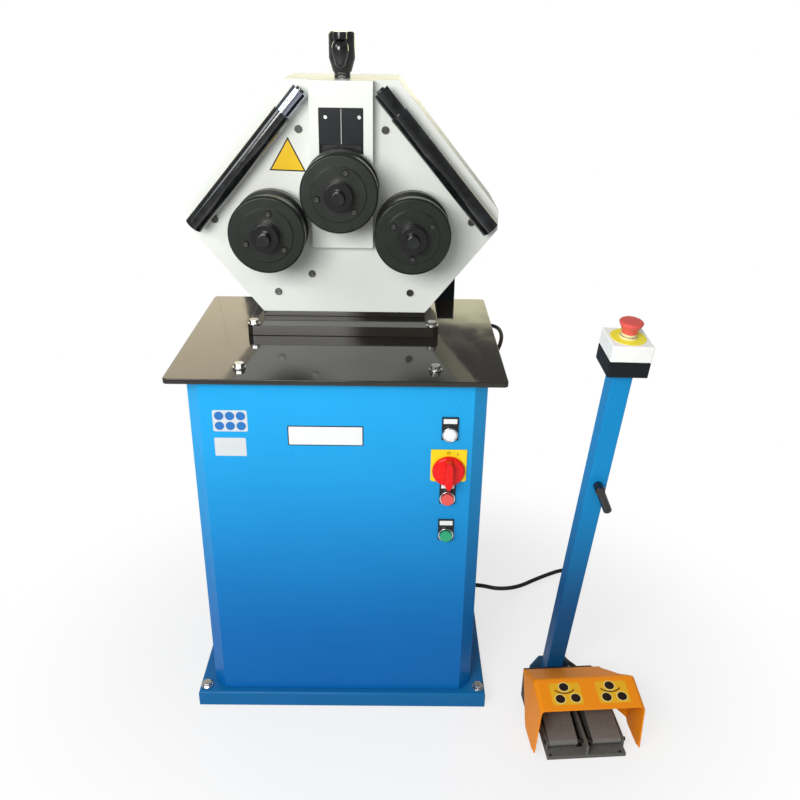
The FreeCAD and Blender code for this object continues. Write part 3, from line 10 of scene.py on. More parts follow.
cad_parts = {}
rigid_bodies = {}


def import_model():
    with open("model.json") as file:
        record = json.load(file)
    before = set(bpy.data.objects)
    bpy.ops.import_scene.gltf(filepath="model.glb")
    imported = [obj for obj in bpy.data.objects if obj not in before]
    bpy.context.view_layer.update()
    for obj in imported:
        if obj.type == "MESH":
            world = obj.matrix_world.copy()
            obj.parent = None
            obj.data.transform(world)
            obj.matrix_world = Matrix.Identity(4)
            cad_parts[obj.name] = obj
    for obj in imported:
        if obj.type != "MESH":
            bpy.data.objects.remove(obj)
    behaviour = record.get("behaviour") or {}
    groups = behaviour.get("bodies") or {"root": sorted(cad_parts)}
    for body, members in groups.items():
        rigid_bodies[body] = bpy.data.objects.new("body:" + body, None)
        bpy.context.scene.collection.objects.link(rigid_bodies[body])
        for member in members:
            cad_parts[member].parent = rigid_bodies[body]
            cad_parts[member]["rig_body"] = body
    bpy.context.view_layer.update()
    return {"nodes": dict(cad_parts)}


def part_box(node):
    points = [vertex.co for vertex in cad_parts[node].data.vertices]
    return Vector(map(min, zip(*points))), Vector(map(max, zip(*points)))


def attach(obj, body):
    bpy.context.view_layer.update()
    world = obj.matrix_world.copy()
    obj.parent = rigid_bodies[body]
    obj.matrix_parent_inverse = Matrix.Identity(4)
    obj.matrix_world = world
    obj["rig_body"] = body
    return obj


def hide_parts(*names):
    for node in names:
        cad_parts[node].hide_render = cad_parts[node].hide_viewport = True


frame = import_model()
nodes = frame["nodes"]

MM = 0.001
WELD = 0.01
CORNER_STEPS = 6
ARC_STEPS = 24
FRONT = Vector((0, -1, 0))
REAR = Vector((0, 1, 0))
UP = Vector((0, 0, 1))


def mm(*values):
    """A point or size given in millimetres, in metres."""
    return Vector(values) * MM


# ---------------------------------------------------------------- node trees

class Signal:
    """An output socket that can be added, scaled and compared like a number."""

    def __init__(self, tree, socket):
        self.tree = tree
        self.socket = socket

    def math(self, operation, *terms):
        return self.tree.node("ShaderNodeMath", {"operation": operation}, dict(enumerate(terms)))

    def __add__(self, other):
        return self.math("ADD", self, other)

    def __radd__(self, other):
        return self.math("ADD", other, self)

    def __sub__(self, other):
        return self.math("SUBTRACT", self, other)

    def __rsub__(self, other):
        return self.math("SUBTRACT", other, self)

    def __mul__(self, other):
        return self.math("MULTIPLY", self, other)

    def __rmul__(self, other):
        return self.math("MULTIPLY", other, self)

    def between(self, low, high):
        """0 below low, 1 above high, and a smooth rise between them."""
        values = {"Value": self, "From Min": low, "From Max": high}
        return self.tree.node("ShaderNodeMapRange", {"interpolation_type": "SMOOTHSTEP"}, values)


class Tree:
    """A node tree with one method that adds any node."""

    def __init__(self, tree):
        self.tree = tree

    def node(self, kind, settings=None, values=None, output=0):
        made = self.tree.nodes.new(kind)
        for field, setting in (settings or {}).items():
            setattr(made, field, setting)
        for socket, value in (values or {}).items():
            self.feed(made.inputs[socket], value)
        return Signal(self, made.outputs[output])

    def feed(self, socket, value):
        if isinstance(value, Signal):
            self.tree.links.new(value.socket, socket)
        else:
            socket.default_value = value


class Finish(Tree):
    """A material: a Principled shader and the patterns that feed it."""

    def __init__(self, name, **constants):
        self.material = bpy.data.materials.new(name)
        self.material.use_nodes = True
        super().__init__(self.material.node_tree)
        self.shader = self.tree.nodes["Principled BSDF"]
        for socket, value in constants.items():
            self.shader.inputs[socket.replace("_", " ")].default_value = value
        self.place = self.node("ShaderNodeTexCoord", output="Object")

    def set(self, **signals):
        for socket, signal in signals.items():
            self.feed(self.shader.inputs[socket.replace("_", " ")], signal)

    def noise(self, grain, detail=2.0, stretch=(1, 1, 1), distortion=0.0):
        """Cloudy pattern from 0 to 1 whose patches are about grain millimetres across."""
        where = self.node("ShaderNodeVectorMath", {"operation": "MULTIPLY"}, {0: self.place, 1: stretch})
        values = {"Vector": where, "Scale": 1000.0 / grain, "Detail": detail, "Distortion": distortion}
        return self.node("ShaderNodeTexNoise", None, values)

    def height(self):
        """Metres above the floor."""
        return self.node("ShaderNodeSeparateXYZ", None, {0: self.place}, "Z")

    def distance(self, centre, across=(1, 0, 1)):
        """Distance from a line through centre, measured along the axes marked in across."""
        offset = self.node("ShaderNodeVectorMath", {"operation": "SUBTRACT"}, {0: self.place, 1: centre})
        flat = self.node("ShaderNodeVectorMath", {"operation": "MULTIPLY"}, {0: offset, 1: across})
        return self.node("ShaderNodeVectorMath", {"operation": "LENGTH"}, {0: flat}, "Value")

    def mix(self, amount, first, second):
        values = {0: amount, 6: first, 7: second}
        return self.node("ShaderNodeMix", {"data_type": "RGBA"}, values, 2)

    def bump(self, relief, depth):
        """Relief of depth millimetres."""
        values = {"Strength": 1.0, "Distance": depth * MM, "Height": relief}
        self.set(Normal=self.node("ShaderNodeBump", None, values))


def shade(colour, factor):
    """A colour with alpha, made lighter or darker."""
    return tuple(min(1.0, part * factor) for part in colour) + (1.0,)


# ---------------------------------------------------------------- finishes

def sprayed(name, colour, roughness, coat, peel, foot=None, rise=(0.0, 0.75)):
    """Sprayed enamel: orange peel, cloudy thickness and a duller film.

    foot is a darker colour low down, painted shade for the light falling off towards the floor, and rise the
    heights in metres between which it gives way.
    """
    paint = Finish(name, Coat_Roughness=0.12, Specular_IOR_Level=0.12)
    clouds = paint.noise(160, 3)
    upper = paint.mix(clouds, shade(colour, 0.94), shade(colour, 1.05))
    lower = paint.mix(clouds, shade(foot or colour, 0.94), shade(foot or colour, 1.05))
    # painted shade: the colour darkens from the upper colour to the foot colour going down
    paint.set(Base_Color=paint.mix(paint.height().between(*rise), lower, upper))
    film = paint.noise(24, 3)
    paint.set(Roughness=film * 0.12 + (roughness - 0.06), Coat_Weight=coat + 0.06 * clouds)
    paint.bump(paint.noise(3.2, 1) + 0.35 * paint.noise(0.9, 1), peel)
    return paint.material


def gloss_black(name):
    """Deep black enamel, wiped: faint warm haze, streaks and rubbed spots."""
    paint = Finish(name, Specular_IOR_Level=0.5, IOR=1.5)
    streaks = paint.noise(90, 4, (0.35, 1.6, 1), 0.6)
    paint.set(Base_Color=paint.mix(streaks, (0.012, 0.012, 0.011, 1), (0.034, 0.030, 0.024, 1)))
    smears = paint.noise(38, 4, (1, 0.5, 1), 0.4).between(0.35, 0.8)
    paint.set(Roughness=0.06 + 0.07 * smears)
    paint.bump(paint.noise(60, 1) + 0.08 * paint.noise(2.4, 1), 0.10)
    return paint.material


def machined(name, colour, roughness, grain, run=(1, 1, 1)):
    """Machined metal with fine tool marks, drawn out where run is uneven, and a few dull patches."""
    steel = Finish(name, Metallic=1.0)
    marks = steel.noise(grain * 6, 3, run)
    patches = steel.noise(14, 3)
    steel.set(Base_Color=steel.mix(patches, shade(colour, 0.8), shade(colour, 1.05)))
    steel.set(Roughness=roughness - 0.06 + 0.12 * marks + 0.08 * patches)
    steel.bump(marks, 0.02)
    return steel.material


def turned_black(name, centre):
    """Blackened steel faced in a lathe: rings about the centre, oil haze and a glossier hub."""
    steel = Finish(name, Metallic=0.1, Coat_Roughness=0.10, Specular_IOR_Level=0.4)
    radius = steel.distance(centre)
    turns = (radius + steel.noise(30, 2) * 0.0006) * 5200.0
    rings = turns.math("SINE", turns)
    haze = steel.noise(22, 4, (1, 1, 1), 0.5)
    hub_radius, disc_start = 0.024, 0.027
    face = radius.between(hub_radius, disc_start)
    dull = steel.mix(haze, (0.008, 0.011, 0.008, 1), (0.017, 0.021, 0.017, 1))
    steel.set(Base_Color=steel.mix(face, (0.008, 0.008, 0.009, 1), dull))
    steel.set(Roughness=0.16 + 0.14 * face + 0.10 * haze, Coat_Weight=0.5 - 0.4 * face)
    steel.bump(rings, 0.012)
    return steel.material


def blackened(name, tint=(0.012, 0.013, 0.013), roughness=0.24, coat=0.45):
    """Blackened steel with an oily sheen and lighter handled patches."""
    steel = Finish(name, Metallic=0.3, Coat_Roughness=0.10, Specular_IOR_Level=0.5)
    handled = steel.noise(18, 4, (1, 1, 1), 0.5)
    steel.set(Base_Color=steel.mix(handled.between(0.3, 0.9), shade(tint, 0.7), shade(tint, 2.6)))
    steel.set(Roughness=roughness - 0.05 + 0.16 * handled, Coat_Weight=coat + 0.2 * handled)
    steel.bump(steel.noise(1.1, 2) + steel.noise(7, 1), 0.03)
    return steel.material


def moulded(name, colour, roughness=0.38, grain=0.6, depth=0.02, coat=0.0):
    """Moulded plastic: fine eroded grain, slight flow marks and rubbed gloss."""
    plastic = Finish(name, Coat_Roughness=0.08, Specular_IOR_Level=0.25)
    flow = plastic.noise(30, 3)
    plastic.set(Base_Color=plastic.mix(flow, shade(colour, 0.92), shade(colour, 1.06)))
    plastic.set(Roughness=roughness - 0.05 + 0.12 * plastic.noise(8, 3), Coat_Weight=coat + 0.05 * flow)
    plastic.bump(plastic.noise(grain, 2), depth)
    return plastic.material


def cast(name, colour, roughness=0.5):
    """Painted casting: pitted skin under a thin coat of paint, with painted shade darkening its hollows."""
    iron = Finish(name, Specular_IOR_Level=0.3)
    pits_and_shade = iron.noise(2.2, 4)
    clouds = iron.noise(50, 3)
    # painted shade: the colour darkens in the pits' hollows
    iron.set(Base_Color=iron.mix(pits_and_shade.between(0.25, 0.7), shade(colour, 0.75), shade(colour, 1.08)))
    iron.set(Roughness=roughness + 0.15 * clouds, Coat_Weight=0.15 * clouds)
    iron.bump(pits_and_shade + 0.6 * iron.noise(9, 2), 0.15)
    return iron.material


def film(name, colour):
    """Printed vinyl film with slight waves of the glue under it."""
    vinyl = Finish(name, Coat_Roughness=0.15, Specular_IOR_Level=0.3)
    tone = vinyl.noise(12, 2)
    vinyl.set(Base_Color=vinyl.mix(tone, shade(colour, 0.95), shade(colour, 1.03)))
    vinyl.set(Roughness=0.3 + 0.08 * tone, Coat_Weight=0.05 * tone)
    vinyl.bump(vinyl.noise(9, 1), 0.03)
    return vinyl.material


def sheathed(name, colour):
    """Soft cable sheath: dull, finely wrinkled, dusty in patches."""
    rubber = Finish(name, Specular_IOR_Level=0.4)
    dust = rubber.noise(25, 4)
    rubber.set(Base_Color=rubber.mix(dust.between(0.4, 0.9), shade(colour, 1.0), shade(colour, 2.2)))
    rubber.set(Roughness=0.42 + 0.2 * dust)
    rubber.bump(rubber.noise(1.5, 3), 0.05)
    return rubber.material


ROLLER_CENTRES = {roller: sum(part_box(f"{roller}_ring"), Vector()) / 2
                  for roller in ("left", "right", "upper")}

# the cabinet's foot colour is painted shade, darker towards the floor
CABINET_BLUE = sprayed("cabinet_blue_enamel", (0.016, 0.37, 0.78), 0.30, 0.02, 0.05,
                       (0.002, 0.130, 0.42), (0.1, 0.78))
PLINTH_BLUE = sprayed("plinth_blue_enamel", (0.006, 0.135, 0.35), 0.34, 0.04, 0.06)
# the post's foot colour is painted shade, darker towards the floor
POST_BLUE = sprayed("post_blue_enamel", (0.006, 0.26, 0.60), 0.30, 0.02, 0.06,
                    (0.006, 0.085, 0.24), (0.2, 0.6))
DARK_BLUE = sprayed("bracket_slate_enamel", (0.035, 0.095, 0.160), 0.40, 0.25, 0.06)
HEAD_WHITE = sprayed("head_white_enamel", (0.80, 0.83, 0.785), 0.30, 0.15, 0.05)
TABLE_BLACK = gloss_black("table_black_enamel")
HOOD_ORANGE = sprayed("hood_orange_enamel", (0.92, 0.28, 0.008), 0.40, 0.0, 0.07)
BRIGHT_STEEL = machined("bright_steel", (0.72, 0.72, 0.72), 0.22, 0.4)
BEARING_STEEL = machined("ground_steel", (0.5, 0.5, 0.51), 0.25, 0.3, (1, 10, 1))
ZINC = machined("zinc_plate", (0.62, 0.63, 0.61), 0.34, 0.6)
RIM_METAL = machined("polished_rim_metal", (0.83, 0.83, 0.84), 0.16, 0.4, (1, 8, 1))
# bluish chrome used on the left bar's neck alone: a painted highlight for the glint there
GLINT_CHROME = machined("blue_black_chrome", (0.46, 0.49, 0.60), 0.12, 0.5)
BLACKENED = blackened("blackened_steel")
CRANK_BLACK = blackened("crank_black", (0.010, 0.011, 0.011), 0.2, 0.6)
WINDOW_BLACK = blackened("window_black", (0.007, 0.008, 0.007), 0.34, 0.05)
BAR_BLACK = blackened("bar_black", (0.010, 0.011, 0.012), 0.13, 0.8)
BURNISHED = machined("burnished_steel", (0.14, 0.145, 0.14), 0.22, 0.5)
CAST_GREY = cast("cast_grey_paint", (0.16, 0.175, 0.19))
MOTOR_GREY = cast("motor_dark_paint", (0.035, 0.04, 0.042), 0.42)
BLACK_PLASTIC = moulded("black_plastic", (0.018, 0.018, 0.019), 0.34)
BOX_BLACK = moulded("stop_box_black_plastic", (0.006, 0.009, 0.011), 0.42, 0.8, 0.03)
LID_WHITE = moulded("stop_lid_white_plastic", (0.93, 0.95, 0.93), 0.34)
LIGHT_PLASTIC = moulded("light_plastic", (0.80, 0.81, 0.78), 0.36)
RED_PLASTIC = moulded("red_plastic", (0.80, 0.008, 0.006), 0.26, 0.8, 0.015, 0.1)
MUSHROOM_RED = moulded("mushroom_red_plastic", (0.76, 0.105, 0.095), 0.36, 1.0, 0.015, 0.05)
GREEN_PLASTIC = moulded("green_plastic", (0.02, 0.36, 0.17), 0.30, 0.8, 0.015, 0.3)
YELLOW_PLASTIC = moulded("yellow_plastic", (0.93, 0.66, 0.012), 0.34)
LEMON_PLASTIC = moulded("lemon_plastic", (0.93, 0.86, 0.05), 0.36)
PALE_COLLAR = moulded("pale_collar_plastic", (0.80, 0.72, 0.42), 0.36)
LENS_WHITE = moulded("lamp_lens_plastic", (0.80, 0.82, 0.84), 0.16, 1.2, 0.01, 0.6)
PEDAL_GREY = cast("pedal_grey_rubber", (0.18, 0.172, 0.157), 0.66)
BASE_GREY = cast("pedal_base_grey", (0.125, 0.125, 0.115), 0.6)
HOUSING_BROWN = cast("housing_dark_brown_paint", (0.030, 0.022, 0.018), 0.5)
SHEATH_BLACK = sheathed("cable_black_sheath", (0.012, 0.012, 0.013))
SHEATH_BROWN = sheathed("cable_dark_brown_sheath", (0.030, 0.014, 0.010))
FILM_WHITE = film("white_film", (0.78, 0.80, 0.80))
FILM_GREY = film("pale_grey_film", (0.60, 0.64, 0.66))
FILM_BLUE = film("blue_film", (0.020, 0.16, 0.48))
FILM_YELLOW = film("yellow_film", (0.88, 0.56, 0.014))
FILM_AMBER = film("amber_film", (0.84, 0.44, 0.012))
FILM_CREAM = film("pale_yellow_film", (0.85, 0.66, 0.20))
FILM_BLACK = film("black_film", (0.012, 0.012, 0.012))
FILM_BROWN = film("dark_brown_film", (0.022, 0.010, 0.006))
ROLLER_BLACK = {roller: turned_black(f"{roller}_roller_black", tuple(centre))
                for roller, centre in ROLLER_CENTRES.items()}


# ---------------------------------------------------------------- making pieces

def loose(name, mesh):
    piece = bpy.data.objects.new(name, mesh)
    bpy.context.scene.collection.objects.link(piece)
    return piece


def baked(piece):
    """Turns what the piece's modifiers make into its own plain mesh."""
    bpy.context.view_layer.update()
    source = piece.evaluated_get(bpy.context.evaluated_depsgraph_get())
    mesh = bpy.data.meshes.new_from_object(source)
    piece.modifiers.clear()
    piece.data = mesh
    return piece


def fitted(piece, body, finish, stands_for=()):
    """Gives the piece its finish and its body, and hides the CAD pieces it stands for."""
    if finish is not None:
        piece.data.materials.clear()
        piece.data.materials.append(finish)
    if stands_for:
        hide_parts(*stands_for)
    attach(piece, body)
    return piece


def smoothed(mesh):
    mesh.polygons.foreach_set("use_smooth", [True] * len(mesh.polygons))
    mesh.update()


def rounded(piece, width, segments=2, angle=34.0):
    """Rounds the piece's sharp edges by width millimetres."""
    smoothed(piece.data)
    bevel = piece.modifiers.new("edges", "BEVEL")
    bevel.width = width * MM
    bevel.segments = segments
    bevel.limit_method = "ANGLE"
    bevel.angle_limit = math.radians(angle)
    bevel.use_clamp_overlap = False
    flat = piece.modifiers.new("flat faces", "WEIGHTED_NORMAL")
    flat.mode = "FACE_AREA"
    flat.keep_sharp = True
    return baked(piece)


def from_bmesh(name, shape):
    mesh = bpy.data.meshes.new(name)
    bmesh.ops.recalc_face_normals(shape, faces=shape.faces)
    shape.to_mesh(mesh)
    shape.free()
    return loose(name, mesh)


def islands(shape):
    """The separate lumps of a mesh, each a list of its vertices."""
    waiting = set(shape.verts)
    for first in shape.verts:
        if first not in waiting:
            continue
        waiting.remove(first)
        lump, edge = [first], [first]
        while edge:
            for link in edge.pop().link_edges:
                for vert in link.verts:
                    if vert in waiting:
                        waiting.remove(vert)
                        lump.append(vert)
                        edge.append(vert)
        yield lump


def corners(lump):
    low = Vector(min(vert.co[axis] for vert in lump) for axis in range(3))
    high = Vector(max(vert.co[axis] for vert in lump) for axis in range(3))
    return low, high


def merged(node):
    """A CAD piece's mesh with its doubled points merged and flat faces joined."""
    shape = bmesh.new()
    shape.from_mesh(nodes[node].data)
    bmesh.ops.remove_doubles(shape, verts=shape.verts, dist=WELD * MM)
    bmesh.ops.dissolve_limit(shape, angle_limit=math.radians(0.6), verts=shape.verts, edges=shape.edges)
    return shape


def edged(node, width, finish, segments=2, keep=None):
    """A CAD piece with its edges broken, in the node's place; keep picks the lumps that stay."""
    shape = merged(node)
    if keep is not None:
        gone = [vert for lump in list(islands(shape)) if not keep(*corners(lump)) for vert in lump]
        bmesh.ops.delete(shape, geom=gone, context="VERTS")
    mesh = bpy.data.meshes.new(f"{node}_edged")
    shape.to_mesh(mesh)
    shape.free()
    piece = rounded(loose(f"{node}_edged", mesh), width, segments)
    return fitted(piece, nodes[node]["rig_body"], finish, [node])


def lump_boxes(node):
    """Lowest and highest corners of each lump of a CAD piece."""
    shape = merged(node)
    boxes = [corners(lump) for lump in islands(shape)]
    shape.free()
    return boxes


def turn_to(axis):
    return UP.rotation_difference(Vector(axis)).to_matrix().to_4x4()


def lathe(name, profile, at, axis, steps=96):
    """Turns a profile of (radius, height) millimetres about the axis through at."""
    shape = bmesh.new()
    rings = []
    for radius, height in profile:
        count = 1 if radius == 0 else steps
        rings.append([shape.verts.new((radius * MM * math.cos(math.tau * step / steps),
                                       radius * MM * math.sin(math.tau * step / steps),
                                       height * MM)) for step in range(count)])
    for lower, upper in zip(rings, rings[1:]):
        for step in range(steps):
            after = (step + 1) % steps
            face = [lower[step % len(lower)], lower[after % len(lower)],
                    upper[after % len(upper)], upper[step % len(upper)]]
            shape.faces.new(dict.fromkeys(face))
    shape.transform(Matrix.Translation(at) @ turn_to(axis))
    return from_bmesh(name, shape)


def rounded_outline(width, height, radius):
    """Corners of a rounded rectangle about the origin, in millimetres."""
    points = []
    for quarter, (side, rise) in enumerate(((1, 1), (-1, 1), (-1, -1), (1, -1))):
        for step in range(CORNER_STEPS + 1):
            angle = math.radians(90 * quarter + 90 * step / CORNER_STEPS)
            points.append((side * (width / 2 - radius) + radius * math.cos(angle),
                           rise * (height / 2 - radius) + radius * math.sin(angle)))
    return points


def circle_outline(radius, steps=40):
    return [(radius * math.cos(math.tau * step / steps), radius * math.sin(math.tau * step / steps))
            for step in range(steps)]


def arc_outline(radius, width, start, end):
    """A curved strip about the origin from one angle to another, in degrees."""
    angles = [math.radians(start + (end - start) * step / ARC_STEPS) for step in range(ARC_STEPS + 1)]
    outer, inner = ([(edge * math.cos(angle), edge * math.sin(angle)) for angle in angles]
                    for edge in (radius + width / 2, radius - width / 2))
    return outer + inner[::-1]


def bar_outline(width, low, high):
    """An upright bar from low to high, in millimetres."""
    return [(-width / 2, low), (width / 2, low), (width / 2, high), (-width / 2, high)]


def card(name, outline, thickness, place, holes=()):
    """A thin plate whose back lies in place's XY plane and whose face points along its Z."""
    shape = bmesh.new()
    loops = []
    for points in (outline, *holes):
        verts = [shape.verts.new(mm(x, y, 0)) for x, y in points]
        loops += [shape.edges.new((verts[k - 1], verts[k])) for k in range(len(verts))]
    bmesh.ops.triangle_fill(shape, edges=loops, use_beauty=True, use_dissolve=not holes)
    raised = bmesh.ops.extrude_face_region(shape, geom=shape.faces[:])
    top = [item for item in raised["geom"] if isinstance(item, bmesh.types.BMVert)]
    bmesh.ops.translate(shape, verts=top, vec=mm(0, 0, thickness))
    shape.transform(place)
    return from_bmesh(name, shape)


def facing(at, normal, right=(1, 0, 0)):
    """A frame at a point in metres, with Z along the normal and X as near to right as it can be."""
    z = Vector(normal).normalized()
    y = z.cross(Vector(right)).normalized()
    x = y.cross(z)
    return Matrix.Translation(at) @ Matrix((x, y, z)).transposed().to_4x4()


def label(name, outline, at, normal, finish, thickness=0.35,
          right=(1, 0, 0), holes=()):
    """A stuck-on film or plate with a slightly rounded rim."""
    piece = card(name, outline, thickness, facing(at, normal, right), holes)
    fitted(rounded(piece, thickness * 0.3), "machine", finish)


def on_front(x, z, face, lift=0.0):
    """A point in metres on a face that looks forward, or lift millimetres in front of it."""
    return Vector((x * MM, face - lift * MM, z * MM))


# ---------------------------------------------------------------- repeated pieces

class Recipe(Tree):
    """A geometry-node tree whose sizes are named inputs of its group."""

    def __init__(self, name, sizes):
        group = bpy.data.node_groups.new(name, "GeometryNodeTree")
        super().__init__(group)
        group.interface.new_socket("Geometry", in_out="INPUT", socket_type="NodeSocketGeometry")
        self.identifiers = {}
        for size, value in sizes.items():
            kind = "NodeSocketInt" if isinstance(value, int) else "NodeSocketFloat"
            socket = group.interface.new_socket(size, in_out="INPUT", socket_type=kind)
            socket.default_value = value
            self.identifiers[size] = socket.identifier
        finish = group.interface.new_socket("Finish", in_out="INPUT", socket_type="NodeSocketMaterial")
        self.identifiers["Finish"] = finish.identifier
        group.interface.new_socket("Geometry", in_out="OUTPUT", socket_type="NodeSocketGeometry")
        self.given = group.nodes.new("NodeGroupInput")

    def size(self, name):
        return Signal(self, self.given.outputs[name])

    def primitive(self, kind, **sizes):
        """A plain mesh: Cylinder, Cone, Cube, Circle or Grid."""
        values = {size.replace("_", " "): value for size, value in sizes.items()}
        return self.node(f"GeometryNodeMesh{kind}", None, values, "Mesh")

    def lifted(self, shape, rise):
        offset = self.node("ShaderNodeCombineXYZ", None, {2: rise})
        return self.node("GeometryNodeTransform", None, {"Geometry": shape, "Translation": offset})

    def turned(self, axis, way):
        """The turn that lays one of the shape's axes along way."""
        return self.node("FunctionNodeAlignRotationToVector", {"axis": axis}, {"Vector": way})

    def end(self, points, shape, **turn):
        """Stands the shape on every point, makes the copies real and gives them the finish."""
        values = {"Points": points, "Instance": shape, **turn}
        copies = self.node("GeometryNodeInstanceOnPoints", None, values)
        real = self.node("GeometryNodeRealizeInstances", None, {0: copies})
        values = {"Geometry": real, "Material": self.size("Finish")}
        finished = self.node("GeometryNodeSetMaterial", None, values)
        output = self.tree.nodes.new("NodeGroupOutput")
        self.feed(output.inputs[0], finished)

    def bake(self, piece, finish, **sizes):
        """Runs the tree on a piece and leaves a plain mesh in it."""
        modifier = piece.modifiers.new("recipe", "NODES")
        modifier.node_group = self.tree
        for size, value in sizes.items():
            modifier[self.identifiers[size.replace("_", " ")]] = value
        modifier[self.identifiers["Finish"]] = finish
        return baked(piece)


def points_with(name, places, facings):
    """A mesh of bare points, each with the direction that what stands on it faces."""
    mesh = bpy.data.meshes.new(name)
    mesh.from_pydata([tuple(place) for place in places], [], [])
    direction = mesh.attributes.new("facing", "FLOAT_VECTOR", "POINT")
    direction.data.foreach_set("vector", [part for axis in facings for part in axis])
    return loose(name, mesh)


SCREW_SIDES = 32
SOCKET_SHARE = 0.55  # of the head's radius
KEY_MIDDLE = 0.95  # of the head's height


def socket_screw_recipe():
    """Screw heads with a chamfered rim and a hexagon socket, one on each point."""
    recipe = Recipe("socket_screws",
                    {"Radius": 7 * MM, "Height": 4 * MM, "Socket": 4 * MM, "Chamfer": 0.8 * MM})
    radius, height, chamfer = recipe.size("Radius"), recipe.size("Height"), recipe.size("Chamfer")
    barrel = height - chamfer
    body = recipe.primitive("Cylinder", Vertices=SCREW_SIDES, Radius=radius, Depth=barrel)
    rim = recipe.primitive("Cone", Vertices=SCREW_SIDES, Radius_Bottom=radius,
                           Radius_Top=radius - chamfer, Depth=chamfer)
    head = recipe.node("GeometryNodeJoinGeometry")
    for part, rise in ((rim, barrel), (body, barrel * 0.5)):
        recipe.feed(head.socket.node.inputs[0], recipe.lifted(part, rise))
    solid = recipe.node("GeometryNodeMergeByDistance", None, {"Geometry": head, "Distance": WELD * MM})
    key = recipe.primitive("Cylinder", Vertices=6, Radius=recipe.size("Socket"), Depth=height)
    key = recipe.lifted(key, height * KEY_MIDDLE)
    drilled = recipe.node("GeometryNodeMeshBoolean", {"operation": "DIFFERENCE", "solver": "EXACT"},
                          {"Mesh 1": solid, "Mesh 2": key, "Self Intersection": True})
    way = recipe.node("GeometryNodeInputNamedAttribute", {"data_type": "FLOAT_VECTOR"}, {"Name": "facing"})
    points = recipe.node("GeometryNodeMeshToPoints", None, {"Mesh": recipe.size("Geometry")})
    recipe.end(points, drilled, Rotation=recipe.turned("Z", way))
    return recipe


def fin_recipe():
    """Straight fins round an axis along Z, standing on a circle."""
    recipe = Recipe("cooling_fins", {"Count": 28, "Radius": 66 * MM, "Length": 150 * MM, "Thickness": 2 * MM,
                                     "Depth": 8 * MM})
    circle = recipe.primitive("Circle", Vertices=recipe.size("Count"), Radius=recipe.size("Radius"))
    size = recipe.node("ShaderNodeCombineXYZ", None, {0: recipe.size("Depth"), 1: recipe.size("Thickness"),
                                                      2: recipe.size("Length")})
    outward = recipe.node("GeometryNodeInputPosition")
    recipe.end(circle, recipe.primitive("Cube", Size=size), Rotation=recipe.turned("X", outward))
    return recipe


STUD_TOP_SHARE = 0.45


def stud_recipe():
    """A grid of small low ribs over a rectangle."""
    recipe = Recipe("tread_studs", {"Width": 50 * MM, "Length": 80 * MM, "Across": 12, "Along": 19,
                                    "Stud": 1.4 * MM, "Height": 0.9 * MM})
    foot = recipe.size("Stud")
    grid = recipe.primitive("Grid", Size_X=recipe.size("Width"), Size_Y=recipe.size("Length"),
                            Vertices_X=recipe.size("Across"), Vertices_Y=recipe.size("Along"))
    stud = recipe.primitive("Cone", Vertices=4, Radius_Bottom=foot, Radius_Top=foot * STUD_TOP_SHARE,
                            Depth=recipe.size("Height"))
    recipe.end(grid, stud)
    return recipe


SOCKET_SCREWS = socket_screw_recipe()
FINS = fin_recipe()
STUDS = stud_recipe()


def screws(name, places, facings, body, finish, radius, height, stands_for=(), chamfer=0.8):
    """Socket screws at places in metres, with their heads' feet on those places."""
    piece = points_with(name, places, facings)
    SOCKET_SCREWS.bake(piece, finish, Radius=radius * MM, Height=height * MM,
                       Socket=radius * SOCKET_SHARE * MM, Chamfer=chamfer * MM)
    fitted(piece, body, None, stands_for)


# ---------------------------------------------------------------- cabinet and table

def dress_cabinet():
    edged("plinth", 1.6, PLINTH_BLUE, 3)
    edged("cabinet_shell", 1.2, CABINET_BLUE, 3)
    edged("table_plate", 1.4, TABLE_BLACK, 3)
    edged("hex_bolts", 0.7, BRIGHT_STEEL)
    edged("rear_door", 1.0, CABINET_BLUE)
    edged("door_hinges", 0.5, ZINC)
    edged("electrics_tray", 0.6, LIGHT_PLASTIC)


FILM_DEPTH = 0.3
NAME_PLATE, DISC_PLATE, SMALL_PLATE = (-21.5, 632), (-192, 660), (-194.5, 607.5)
NAME_PLATE_SIZE, NAME_FIELD_SIZE = (137, 40, 2.5), (133, 36, 1.8)  # width, height and corner
DISC_PLATE_SIZE, SMALL_PLATE_SIZE = (62, 42, 3), (57, 37, 2)
DISC_PITCH_X, DISC_PITCH_Z, DISC_RADIUS = 19.4, 9.9, 8.4
TRIANGLE = ((-100.5, 1118), (-137, 1057), (-68.5, 1055))


